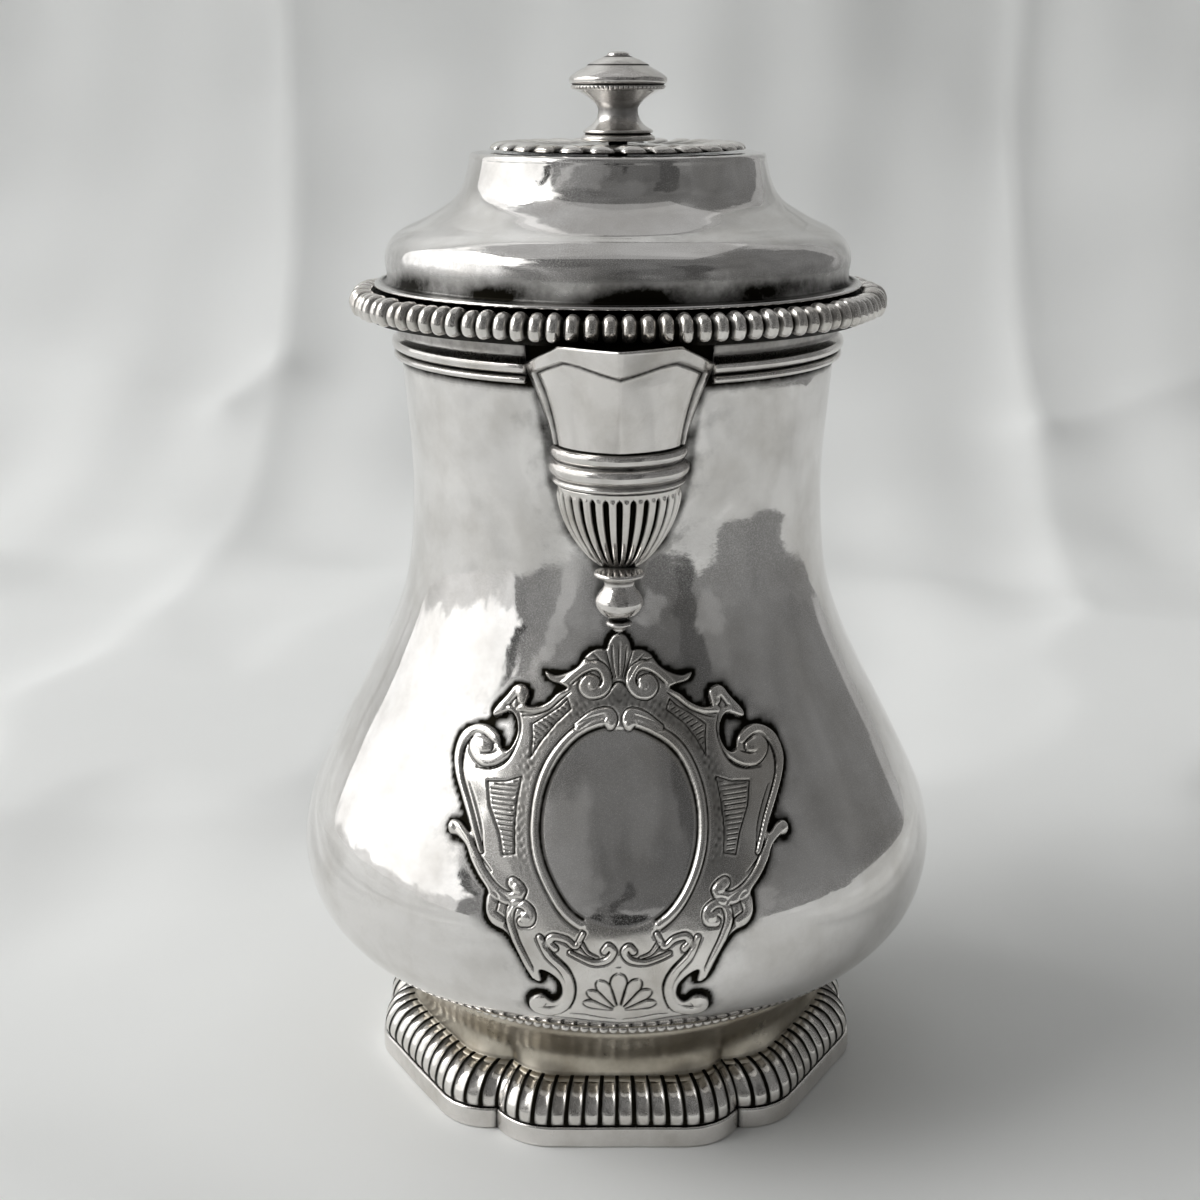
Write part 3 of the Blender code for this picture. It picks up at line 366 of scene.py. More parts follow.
def collar_row(share, roundness, radius, inset):
    """One row of the collar, drawn from the lobed outline towards a circle."""
    outline, turn = lobed(COLLAR_APOTHEM - inset, COLLAR_NOTCH - inset, COLLAR_STRAIGHT, COLLAR_COLUMNS)
    mixed = outline + (radius - inset - outline) * roundness
    return around(turn, mixed, collar_low[2] + (collar_high[2] - collar_low[2]) * share)


rows = [collar_row(0.0, 0.0, 0.0, COLLAR_SHEET), collar_row(-0.01, 0.0, 0.0, -0.3),
        collar_row(-0.01, 0.0, 0.0, -0.8), collar_row(0.012, 0.0, 0.0, -0.95),
        collar_row(0.034, 0.0, 0.0, -0.8), collar_row(0.05, 0.05, COLLAR_APOTHEM, -0.2)]
rows += [collar_row(*place, 0.0) for place in collar_path[3:]]
rows += [collar_row(share - 0.03, roundness, radius, COLLAR_SHEET)
         for share, roundness, radius in collar_path[:5:-3]]
collar = np.array(rows)
collar += 0.05 * unevenness(collar, 12, 5)[..., None] * (1, 1, 0)
collar_dark = np.zeros(collar.shape[:2])
collar_dark[:2] = 1.0
collar_dark[5:9] = np.array([0.5, 0.42, 0.34, 0.26])[:, None]
piece("foot_neck", collar, quads(*collar.shape[:2]), dull_silver_darkened_as_shade, "pot",
      ["foot_collar"], collar_dark)


# ------------------------------------------------------------------------------- pear body
# The pear-shaped body, raised from one sheet of silver with a hammer and polished by hand. Its
# mirror still swells a little from the blows. Seven holes behind the spout strain the coffee.

body_low, body_high = in_mm(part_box("body_shell"))
BODY_WALL = 0.9
BELLY_RADIUS = (body_high[0] - body_low[0]) / 2
BODY_TOP = body_high[2]
SEAT_RADIUS, SEAT_HEIGHT = 44.6, 24.9
BELLY_HEIGHT = 48.0
NECK_RADIUS, NECK_HEIGHT = 39.8, 118.0
MOUTH_RADIUS, MOUTH_BAND = 41.2, 8.1
HOLE_RADIUS = 1.3

# Polished sterling: a true mirror, with faint dull clouds.
polished_silver = silver("polished_sterling_silver", "#EAE8E6", "#D3D0CC", 0.03, 0.085, 0.2)


def body_outline():
    """Outer outline of the body, as radius and height, from its bottom to the rim."""
    depth = SEAT_HEIGHT - body_low[2]
    lower = [(0.0, 0.0), (0.45, 0.08), (0.74, 0.36), (0.9, 0.675), (1.0, 1.0)]
    bowl = [(0.31, 0.11), (0.60, 0.235), (0.85, 0.48), (0.968, 0.74), (1.0, 1.0)]
    pear = [(0.962, 0.086), (0.874, 0.171), (0.622, 0.343), (0.31, 0.543), (0.119, 0.70),
            (0.034, 0.83), (0.0, 1.0)]
    band = BODY_TOP - MOUTH_BAND
    flare = [(0.07, 0.32), (0.6, 0.7), (1.0, 1.0)]
    points = [(SEAT_RADIUS * r, body_low[2] + depth * h) for r, h in lower]
    points += [(SEAT_RADIUS + (BELLY_RADIUS - SEAT_RADIUS) * r,
                SEAT_HEIGHT + (BELLY_HEIGHT - SEAT_HEIGHT) * h) for r, h in bowl]
    points += [(NECK_RADIUS + (BELLY_RADIUS - NECK_RADIUS) * r,
                BELLY_HEIGHT + (NECK_HEIGHT - BELLY_HEIGHT) * h) for r, h in pear]
    points += [(NECK_RADIUS + (MOUTH_RADIUS - NECK_RADIUS) * r,
                NECK_HEIGHT + (band - NECK_HEIGHT) * h) for r, h in flare]
    return flowing(points + [(MOUTH_RADIUS, BODY_TOP)], 12)


wall = body_outline()
above_seat = wall[wall[:, 1] > SEAT_HEIGHT - 2]


def body_radius(height):
    """Outer radius of the body at a height."""
    return np.interp(height, above_seat[:, 1], above_seat[:, 0])


def on_body(x, height, proud=0.0):
    """Points on the front of the body, or proud of it, at a place across and a height."""
    x, height = np.broadcast_arrays(np.asarray(x, float), np.asarray(height, float))
    slope = (body_radius(height + 0.5) - body_radius(height - 0.5))
    radius = body_radius(height)
    tilt = 1 / np.sqrt(1 + slope ** 2)
    reach = np.sqrt(np.maximum(radius ** 2 - x ** 2, 1.0))
    outward = np.stack([x / radius * tilt, -reach / radius * tilt, -slope * tilt], -1)
    return np.stack([x, -reach, height], -1) + np.asarray(proud)[..., None] * outward


# The cartouche's edge, right half, from the shell's top round to the middle of the bottom.
# The body needs it too, because the body is darkened along this edge: painted shade, with some tarnish.
CARTOUCHE_EDGE = [
    (0.0, 100.5), (1.1, 100.0), (1.9, 98.8), (2.3, 97.5), (3.2, 97.6), (4.4, 97.3), (5.7, 96.4),
    (6.6, 95.1), (7.6, 94.2), (9.2, 93.4), (11.2, 92.9), (12.9, 93.3), (12.2, 92.0), (9.9, 91.5),
    (8.9, 90.9), (10.7, 89.9), (12.2, 88.4), (14.2, 87.3), (16.4, 87.2), (16.2, 88.5), (15.9, 89.6),
    (16.8, 90.5), (18.3, 90.2), (19.6, 88.7), (21.9, 86.2), (22.1, 84.9), (20.6, 85.5),
    (18.9, 86.0), (17.9, 84.7), (17.8, 82.5), (18.8, 80.4), (19.9, 79.7), (20.8, 80.3),
    (21.0, 81.7), (22.0, 83.0), (23.8, 83.4), (26.0, 82.7), (28.1, 80.9), (29.3, 77.6),
    (29.1, 74.7), (28.1, 71.8), (26.8, 68.6), (26.1, 66.4), (26.7, 66.3), (27.8, 67.4),
    (29.2, 67.5), (30.0, 66.5), (29.8, 65.3), (28.3, 65.2), (26.8, 64.1), (26.0, 62.1),
    (24.6, 59.8), (22.9, 57.7), (23.2, 56.2), (23.1, 53.9), (22.1, 52.3), (19.6, 51.2),
    (17.7, 48.5), (15.9, 44.8), (14.7, 43.0), (13.6, 42.9), (13.8, 45.0), (12.0, 44.4),
    (10.4, 42.6), (10.1, 40.2), (11.2, 38.6), (12.3, 38.9), (13.5, 39.9), (15.2, 39.3),
    (15.8, 37.4), (14.9, 35.8), (12.5, 35.0), (8.4, 34.6), (4.0, 33.9), (0.0, 33.6)]


def nearest(places, line):
    """Distance from each place to a line of points, and the share of the line passed there."""
    line = np.asarray(line, float)
    lengths = np.linalg.norm(np.diff(line, axis=0), axis=1)
    passed = np.r_[0, np.cumsum(lengths)]
    best, share = np.full(len(places), 1e9), np.zeros(len(places))
    for start, end, length, before in zip(line, line[1:], lengths, passed):
        if length < 1e-9:
            continue
        way = (end - start) / length
        offset = places - start
        t = np.clip(offset @ way, 0, length)
        gap = np.hypot(*(offset - t[:, None] * way).T)
        nearer = gap < best
        best[nearer], share[nearer] = gap[nearer], (before + t[nearer]) / passed[-1]
    return best, share


def inside_by(places, outline):
    """How far each place lies inside a closed outline; negative outside."""
    outline = np.asarray(outline, float)
    closed = np.vstack([outline, outline[:1]])
    gap, _ = nearest(places, closed)
    within = np.zeros(len(places), bool)
    for (x0, y0), (x1, y1) in zip(closed, closed[1:]):
        if y0 != y1:
            spans = (y0 > places[:, 1]) != (y1 > places[:, 1])
            within ^= spans & (places[:, 0] < (x1 - x0) * (places[:, 1] - y0) / (y1 - y0) + x0)
    return np.where(within, gap, -gap)


edge_curve = flowing(CARTOUCHE_EDGE, 4)
BEHIND = -8.0                    # closes the half outline well past its middle line
half_cartouche = np.vstack([edge_curve, [(BEHIND, CARTOUCHE_EDGE[-1][1]),
                                         (BEHIND, CARTOUCHE_EDGE[0][1])]])

# Half the spout's width against height, where its pieces stand on the neck.
SPOUT_SIDE = np.array([(101.5, 0.6), (103.4, 2.2), (105.0, 3.4), (107.0, 4.2), (109.6, 3.2),
                       (112.8, 4.6), (113.2, 4.6), (116.0, 7.6), (120.0, 10.0), (124.0, 11.3),
                       (127.4, 12.2), (134.6, 12.9), (142.0, 14.2), (151.0, 16.6)])

dense = np.radians(43)           # the front, where the cartouche sits, has finer columns
turns = np.r_[np.linspace(-dense, dense, 190, endpoint=False),
              np.linspace(dense, math.tau - dense, 190, endpoint=False)]
skin = around(turns, wall[:, :1], wall[:, 1:])
lean = unit(np.gradient(wall, axis=0))
facing = around(turns, lean[:, 1:], 0.0) + np.array([0, 0, 1.0]) * -lean[:, :1, None]
swell = 0.055 * unevenness(skin, 26, 7) + 0.016 * unevenness(skin, 9, 8)
calm = np.clip((BODY_TOP - skin[..., 2]) / 12, 0, 1) * np.clip(skin[..., 2] / 30 - 0.7, 0, 1)
skin += (swell * calm)[..., None] * facing
wall_inner = wall[::3] + BODY_WALL * np.stack([-lean[::3, 1], lean[::3, 0]], 1)
wall_inner[0, 0], wall_inner[-1, 1] = 0.0, BODY_TOP
lining = around(turns, np.maximum(wall_inner[::-1, :1], 0), wall_inner[::-1, 1:])
shell = np.concatenate([skin, lining])


def body_tarnish_and_shade(points):
    """Tarnish and painted shade on the body beside the pieces soldered to it."""
    x, y, z = points[:, 0], points[:, 1], points[:, 2]
    outside = np.hypot(x, y) > body_radius(z) - BODY_WALL / 2
    front = outside & (y < 0) & (abs(x) < 40) & (z > 28)
    dark = np.zeros(len(points))
    places = np.stack([abs(x[front]), z[front]], 1)
    # Round the cartouche, a dark line and a softer fringe: painted shade, with some tarnish in the
    # joint.
    gap = -inside_by(places, half_cartouche)
    patchy = 0.5 + 0.5 * unevenness(points[front], 3.0, 21)
    gap = np.clip(gap, 0, 99)
    halo = 1.5 * np.exp(-(gap / 1.0) ** 2) + 0.42 * patchy * np.exp(-gap / 2.6)
    # The same along the sides of the spout: painted shade, with some tarnish in the joint.
    beside = places[:, 0] - np.interp(places[:, 1], SPOUT_SIDE[:, 0], SPOUT_SIDE[:, 1],
                                      left=-9, right=-9)
    low_or_high = np.clip(SPOUT_SIDE[0, 0] - places[:, 1], 0, 99)
    gap = np.hypot(np.clip(beside, 0, 99), low_or_high)
    gap = np.where(places[:, 1] > SPOUT_SIDE[0, 0] - 3, gap, 99)
    halo = np.maximum(halo, 0.5 * np.exp(-(gap / 0.7) ** 2) + 0.34 * patchy * np.exp(-gap / 3.5))
    dark[front] = halo
    # A painted shadow line on the body just under the neck moulding, and darkening just above the seat.
    under_moulding = np.exp(-np.clip(BODY_TOP - 7.9 - z, 0, 99) / 0.5)
    at_seat = np.exp(-np.clip(z - SEAT_HEIGHT - 0.4, 0, 99) / 0.7)
    dark = np.maximum(dark, outside * np.maximum(under_moulding, at_seat))
    for height in socket_heights:
        gap = np.hypot(x / 10.5, (z - height) / 11.5) - 1
        dark = np.maximum(dark, (outside & (y > 0)) * np.exp(-np.clip(gap, 0, 9) * 9))
    return dark


socket_heights = [500 * sum(corner[2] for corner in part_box(f"handle_{end}_plate"))
                  for end in ("upper", "lower")]
body = piece("pear_body", shell, quads(*shell.shape[:2], wrap_rows=True), polished_silver, "pot",
             ["body_shell"], body_tarnish_and_shade(shell.reshape(-1, 3)))

# The strainer: one hole low in the middle, then pairs and single holes in turn above it.
HOLE_LOW, HOLE_ROW, HOLE_SIDE = 130.9, 3.38, 2.74
bm = bmesh.new()
for across, up in ((0, 0), (-1, 1), (1, 1), (0, 2), (-1, 3), (1, 3), (0, 4)):
    where = Vector((across * HOLE_SIDE, AXIS_Y - NECK_RADIUS, HOLE_LOW + up * HOLE_ROW)) / 1000
    bmesh.ops.create_cone(bm, cap_ends=True, segments=32, radius1=HOLE_RADIUS / 1000,
                          radius2=HOLE_RADIUS / 1000, depth=0.008,
                          matrix=Matrix.Translation(where) @ Matrix.Rotation(math.pi / 2, 4, "X"))
drills = bpy.data.meshes.new("strainer_drills")
bm.to_mesh(drills)
bm.free()
drill = bpy.data.objects.new("strainer_drills", drills)
bpy.context.scene.collection.objects.link(drill)
cut = body.modifiers.new("strainer", "BOOLEAN")
cut.operation, cut.object = "DIFFERENCE", drill
drilled = bpy.data.meshes.new_from_object(body.evaluated_get(bpy.context.evaluated_depsgraph_get()))
body.modifiers.clear()
body.data = drilled
bpy.data.objects.remove(drill)


# --------------------------------------------------------------------------------- bead ring
# A string of small round beads soldered over the joint of body and foot. Silver beading wire,
# drawn through a die, and black between the beads.

BEADS = 164
BEAD_STEPS = 8
bead_low, bead_high = in_mm(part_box("bead_ring"))
BEAD_RADIUS = (bead_high[2] - bead_low[2]) / 2 + 0.05
bead_middle = (bead_high[0] - bead_low[0]) / 2 - BEAD_RADIUS - 0.2

turn = full_turn(BEADS * BEAD_STEPS)
across = (np.arange(BEADS * BEAD_STEPS) % BEAD_STEPS) / BEAD_STEPS * 2 - 1
bulge = np.sqrt(np.clip(1 - (across * 0.93) ** 2, 0, 1)) * BEAD_RADIUS
ring_turn = full_turn(10)
bead_height = bead_low[2] + 0.3 + BEAD_RADIUS
beads = around(turn, bead_middle + np.outer(np.cos(ring_turn), bulge),
               bead_height + np.outer(np.sin(ring_turn), bulge))
piece("bead_string", beads, quads(*beads.shape[:2]), cast_silver, "pot",
      ["bead_ring"], np.tile(1.15 - 1.25 * bulge / BEAD_RADIUS, (10, 1)))


# ----------------------------------------------------------------------------- neck moulding
# Two reeds round the neck under the lid, which stop each side of the spout. Drawn silver wire,
# flattened behind and soldered on.

moulding_low, moulding_high = in_mm(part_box("neck_moulding"))
MOULDING_RADIUS = (moulding_high[0] - moulding_low[0]) / 2
MOULDING_BORE = MOUTH_RADIUS + 0.05
SPOUT_HALF = 16.5                # half the spout's width at the rim


def lathe(section, turns=full_turn(320)):
    """Points and faces of a section, given as radius and height, turned about the axis."""
    section = np.asarray(section, float)
    points = around(turns, section[:, :1], section[:, 1:])
    on_axis = section[0, 0] < 1e-6 and section[-1, 0] < 1e-6
    return points, quads(*points.shape[:2], wrap_rows=not on_axis)


low, high = moulding_low[2], moulding_high[2]
proud = MOULDING_RADIUS - MOULDING_BORE
low += 0.5
reeds = rounded([(MOULDING_BORE, low), (MOULDING_BORE + 0.5 * proud, low),
                 (MOULDING_BORE + 0.80 * proud, low + 0.3), (MOULDING_BORE + 0.80 * proud, low + 1.1),
                 (MOULDING_BORE + 0.35 * proud, low + 1.45), (MOULDING_BORE + 0.35 * proud, low + 1.6),
                 (MOULDING_BORE + 0.95 * proud, low + 2.1), (MOULDING_BORE + proud, low + 3.4),
                 (MOULDING_BORE + 0.6 * proud, low + 4.1), (MOULDING_BORE + 0.3 * proud, low + 5.0),
                 (MOULDING_BORE + 0.5 * proud, high), (MOULDING_BORE, high)], 0.6, 4)
gap = math.asin((SPOUT_HALF - 0.6) / MOULDING_BORE)
turns_left = np.linspace(gap, math.tau - gap, 260)
points, faces = lathe(reeds, turns_left)
count = len(turns_left)
faces = quads(len(reeds), count, wrap_columns=False)
faces += [[i * count for i in range(len(reeds))], [i * count + count - 1 for i in range(len(reeds))]]
up = reeds[:, 1] - low
# Dark in the groove between the two reeds, from tarnish; a painted shadow line along the bottom edge
# against the body; and darker on the hollow band at the top.
reed_tarnish_and_shade = np.exp(-((up - 1.52) / 0.28) ** 2) + np.exp(-np.clip(up, 0, 9) / 0.12)
reed_tarnish_and_shade += 0.45 * np.clip((up - 4.2) / 0.8, 0, 1)
piece("neck_reeds", points, faces, plinth_silver, "pot", ["neck_moulding"],
      np.tile(reed_tarnish_and_shade[:, None], (1, count)))


# ------------------------------------------------------------------------------- beaked lip
# The upper part of the spout: two flat cheeks that meet in a soft ridge, under a turned rim
# that dips in a point at the middle. Sheet silver, with a line graved inside its edges.

BAND_TOP, BAND_HEIGHT = 134.0, 7.0
LOW_HALF, LOW_REACH, LIP_REACH = 11.3, 9.2, 17.7
SPOUT_WALL = 1.1
RIM_PROUD = 0.35


def spout_plan(half, reach, height, beak, across):
    """Plan of the spout at one height, round (beak 0) to keeled (beak 1); across is -1 to 1."""
    radius = body_radius(height)
    joint = -np.sqrt(radius ** 2 - half ** 2)
    front = -(radius + reach)
    angle = across * math.pi / 2
    round_x, round_y = half * np.sin(angle), joint + (front - joint) * np.cos(angle)
    keel_x = half * np.sign(across) * abs(across) ** 0.9
    keel_y = front + (joint - front) * (0.62 * abs(across) + 0.38 * abs(across) ** 3.8)
    return np.stack([round_x + (keel_x - round_x) * beak, round_y + (keel_y - round_y) * beak], -1)


def sheet_between(outer, inner):
    """Points and faces of a closed sheet between two open grids of the same size."""
    rows, columns = outer.shape[:2]
    count = rows * columns
    front = quads(rows, columns, False, False)
    back = [[corner + count for corner in reversed(face)] for face in front]
    numbers = np.arange(count).reshape(rows, columns)
    border = np.r_[numbers[0], numbers[1:, -1], numbers[-1, -2::-1], numbers[-2:0:-1, 0]]
    rim = [[a, b, b + count, a + count] for a, b in zip(border, np.roll(border, -1))]
    return np.concatenate([outer.reshape(-1, 3), inner.reshape(-1, 3)]), front + back + rim


def square_out(plan):
    """Directions square to a line in plan, out of the spout."""
    along = unit(np.gradient(plan, axis=0))
    return np.stack([along[:, 1], -along[:, 0]], 1)


def groove(gap, width):
    """Depth share of a graved line, 1 on its middle and 0 beyond width."""
    return np.clip(1 - abs(gap) / width, 0, 1)


across = np.linspace(-1, 1, 121)
climb = np.linspace(0, 1, 74)
lip_base = BAND_TOP + 0.05
side_lift = np.interp(abs(across), [0, 0.15, 0.52, 0.60, 0.80, 1.0], [1.1, 1.05, 0.95, 0.8, -1.3, -3.7])
rim_depth = np.interp(abs(across), [0, 0.10, 0.40, 0.55, 0.75, 1.0], [4.5, 4.1, 2.9, 2.6, 2.4, 2.3])
outer, inner, dark = [], [], []
for share in climb:
    flare = 0.55 * share + 0.45 * share ** 2
    half = LOW_HALF + (SPOUT_HALF - LOW_HALF) * flare
    reach = LOW_REACH + (LIP_REACH - LOW_REACH) * flare
    nominal = lip_base + (BODY_TOP - lip_base) * share
    plan = spout_plan(half, reach, nominal, min(1.0, 0.35 + share), across)
    height = nominal + side_lift * share
    outward = square_out(plan)
    below_rim = (BODY_TOP - lip_base) * (1 - share)
    side_edge = (1 - abs(across)) * half * 1.15
    into_rim = np.maximum(rim_depth - below_rim, (1.1 - side_edge) * 0.8)
    raised = RIM_PROUD * np.clip(into_rim / 0.25 + 0.5, 0, 1)
    line = groove(into_rim + 0.30, 0.50)
    roll = -0.35 * np.clip(1 - below_rim / 0.4, 0, 1)
    push = (raised - 0.22 * line + roll)[:, None] * outward
    outer.append(np.column_stack([plan + push, height]))
    back = plan - SPOUT_WALL * outward
    back[[0, -1]] = plan[[0, -1]] + [[SPOUT_WALL, -0.2], [-SPOUT_WALL, -0.2]]
    inner.append(np.column_stack([back, height - 0.15 * (share > 0.99)]))
    dark.append(np.maximum(line, np.exp(-side_edge / 0.35) * 0.9))
points, faces = sheet_between(np.array(outer), np.array(inner))
piece("spout_beak", points, faces, plinth_silver, "pot", ["spout_lip"],
      np.concatenate([np.ravel(dark), np.full(len(climb) * len(across), 0.12)]))


# ------------------------------------------------------------------------------ spout strap
# A strap of three reeds that covers the joint between the beak and the cup below it. Drawn
# silver wire, bent round and soldered.

strap = flowing([(0.0, -0.2), (0.03, 0.35), (0.09, 0.55), (0.15, 0.2), (0.19, 0.2), (0.30, 0.95),
                 (0.42, 1.15), (0.54, 0.85), (0.61, 0.15), (0.66, 0.15), (0.74, 0.70), (0.84, 0.85),
                 (0.94, 0.60), (1.0, -0.15)], 5)
across = np.linspace(-1, 1, 101)
outer, inner, dark = [], [], []
for share, proud in strap:
    height = BAND_TOP - BAND_HEIGHT + BAND_HEIGHT * share
    plan = spout_plan(LOW_HALF + proud, LOW_REACH + proud, height, 0.15, across)
    outer.append(np.column_stack([plan, np.full(len(across), height)]))
    back = spout_plan(LOW_HALF - SPOUT_WALL, LOW_REACH - SPOUT_WALL, height, 0.15, across)
    inner.append(np.column_stack([back, np.full(len(across), height)]))
    dark.append(np.full(len(across), np.clip(1.0 - 2.2 * max(proud, 0), 0, 1)))
points, faces = sheet_between(np.array(outer), np.array(inner))
piece("spout_strap", points, faces, plinth_silver, "pot", ["spout_band"],
      np.concatenate([np.ravel(dark), np.ones(len(strap) * len(across))]))


# ------------------------------------------------------------------------------- fluted cup
# The half bowl that closes the spout, with arched hollow flutes between bright ribs. Cast
# silver, the hollows left black.

CUP_HEIGHT = 14.2
FLUTES = 14
across = np.linspace(-1, 1, FLUTES * 16 + 1)
bowl = flowing([(0.0, 0.97), (0.18, 0.955), (0.40, 0.885), (0.62, 0.755), (0.82, 0.58),
                (0.94, 0.44), (1.0, 0.36)], 9)
cup_top = BAND_TOP - BAND_HEIGHT - 0.05
outer, inner, dark = [], [], []
for down, width in bowl:
    height = cup_top - CUP_HEIGHT * down
    cell = ((across + 1) / 2 * FLUTES + 0.5) % 1 * 2 - 1
    reach_up = np.clip((down - 0.075) / 0.06, 0, 1) ** 0.5 * np.clip((0.965 - down) / 0.10, 0, 1) ** 0.5
    hollow = np.clip(1 - (abs(cell) / (0.50 * reach_up + 1e-6)) ** 2, 0, 1) ** 0.5 * (reach_up > 0)
    bulge = 0.18 * (1 - np.clip((1 - abs(cell)) / 0.5, 0, 1) ** 2)
    depth = 1.05 * hollow * (0.35 + 0.65 * width) - bulge * reach_up
    plan = spout_plan(LOW_HALF * width, LOW_REACH * width, height, 0.0, across)
    outward = square_out(plan)
    outer.append(np.column_stack([plan - depth[:, None] * outward, np.full(len(across), height)]))
    back = np.clip(plan[:, 0], -LOW_HALF * width + 0.4, LOW_HALF * width - 0.4)
    inner.append(on_body(back, height, 0.05))
    dark.append(np.clip(1.9 * hollow - 0.25, 0, 1))
points, faces = sheet_between(np.array(outer), np.array(inner))
piece("fluted_cup", points, faces, cast_silver, "pot", ["spout_cup"],
      np.concatenate([np.ravel(dark), np.ones(len(bowl) * len(across))]))


# ------------------------------------------------------------------------------- spout drop
# The turned drop that ends the spout: a flat ring, a short neck, a ball and a tiny tip. Cast
# silver, turned on a lathe and soldered to the neck.

drop_low, drop_high = in_mm(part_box("spout_drop"))
drop_y = (drop_low[1] + drop_high[1]) / 2 - AXIS_Y
drop_section = flowing([(0.0, 0.0), (3.6, 0.0), (4.35, -0.25), (4.4, -0.7), (3.5, -1.25), (2.7, -1.9),
                        (2.75, -2.9), (3.5, -3.9), (4.15, -5.2), (4.05, -6.3), (3.2, -7.6),
                        (1.9, -8.4), (1.55, -8.8), (2.25, -9.3), (2.2, -9.8), (1.3, -10.3),
                        (1.0, -10.8), (0.0, -11.3)], 5)
drop_section[:, 0] = np.maximum(drop_section[:, 0], 0)
points, faces = lathe(drop_section + (0, drop_high[2]), full_turn(64))
pinch = np.exp(-((drop_section[:, 1] + 8.8) / 0.5) ** 2)
pinch += 0.6 * np.exp(-((drop_section[:, 1] + 1.6) / 0.5) ** 2)
seat = np.clip(points[..., 1] / 2.2, 0, 1)
piece("spout_drop_turning", points + (0, drop_y, 0), faces, plinth_silver, "pot",
      ["spout_drop"], np.maximum(pinch[:, None], seat))


# -------------------------------------------------------------------------------- cartouche
# The applied cartouche: a cast plate of scrolls and shells round a plain oval field, bent to
# the body, soldered, and then chased and graved. Black stays in every line.

PLATE = 0.80                     # thickness of the plate over the body
FIELD = 0.42                     # level of the oval field
GRID = 0.2                       # spacing of the mesh across the plate
OVAL_MIDDLE = 68.9
UNDER = -0.45                    # the plate's hidden underside, sunk into the solder


def oval(half_width, half_height, top, bottom):
    """Right side of an oval round the field, between two angles in degrees from its top."""
    turn = np.radians(np.linspace(top, bottom, 60))
    return np.stack([half_width * np.sin(turn), OVAL_MIDDLE + half_height * np.cos(turn)], 1)


# Raised scrolls: a line, its half width at the start and the end, and its height.
SCROLLS = [
    ([(9.6, 91.4), (8.2, 92.6), (6.4, 94.0), (4.2, 94.8), (2.6, 93.8), (2.1, 91.9), (3.1, 90.4),
      (5.0, 90.1), (6.0, 91.2), (5.3, 92.3), (4.3, 92.0)], 0.55, 0.80, 0.42),
    ([(8.9, 91.2), (10.7, 89.8), (12.6, 88.2), (15.0, 87.0), (17.4, 86.7)], 0.45, 0.45, 0.30),
    ([(21.6, 85.3), (20.4, 87.0), (18.9, 88.9), (17.6, 89.8), (16.7, 89.3), (17.1, 88.2)],
     0.60, 0.75, 0.42),
    ([(19.2, 86.4), (18.4, 84.6), (18.3, 82.4), (19.4, 80.1), (21.6, 78.4), (24.0, 77.9),
      (25.3, 79.2), (24.6, 80.6), (23.4, 80.2)], 0.50, 0.95, 0.45),
    ([(21.8, 81.6), (23.6, 82.5), (25.8, 81.9), (27.6, 80.1), (28.6, 77.4), (28.3, 74.6),
      (27.2, 71.7), (25.9, 68.6), (25.0, 65.8), (24.3, 63.6)], 0.70, 0.35, 0.38),
    ([(29.3, 66.5), (28.2, 66.4), (27.0, 65.2), (25.6, 62.8), (24.2, 60.3), (22.2, 58.2),
      (19.9, 57.0), (18.0, 57.2), (17.2, 58.6), (18.2, 59.4)], 0.80, 0.85, 0.42),
    ([(22.0, 56.6), (22.3, 54.2), (20.6, 53.0)], 0.80, 0.60, 0.28),
    ([(14.7, 43.8), (16.2, 47.2), (18.0, 50.6), (19.0, 53.6), (18.4, 56.0), (16.8, 56.3),
      (15.4, 55.2), (15.5, 53.6), (16.8, 53.3)], 0.30, 0.70, 0.42),
    ([(13.6, 51.0), (12.2, 48.0), (9.9, 45.4), (8.7, 42.6), (8.8, 39.8), (10.0, 37.3), (12.4, 36.2),
      (14.5, 36.7), (14.9, 38.2), (13.8, 38.6)], 0.45, 0.85, 0.40),
    ([(6.3, 52.2), (7.6, 50.0), (9.2, 51.2), (11.4, 51.5), (12.2, 50.4), (11.3, 49.5)],
     0.35, 0.55, 0.34),
    ([(8.6, 48.9), (6.8, 48.0), (4.4, 47.2), (2.0, 47.7), (0.9, 49.2), (1.7, 50.1), (2.4, 49.3)],
     0.30, 0.50, 0.36),
    ([(6.6, 50.6), (5.4, 48.9), (3.6, 48.1)], 0.30, 0.15, 0.20),
    ([(1.75, 85.2), (1.35, 86.0), (1.9, 86.9), (3.3, 86.9), (5.1, 86.2), (7.2, 84.6)],
     0.80, 0.45, 0.40),
]
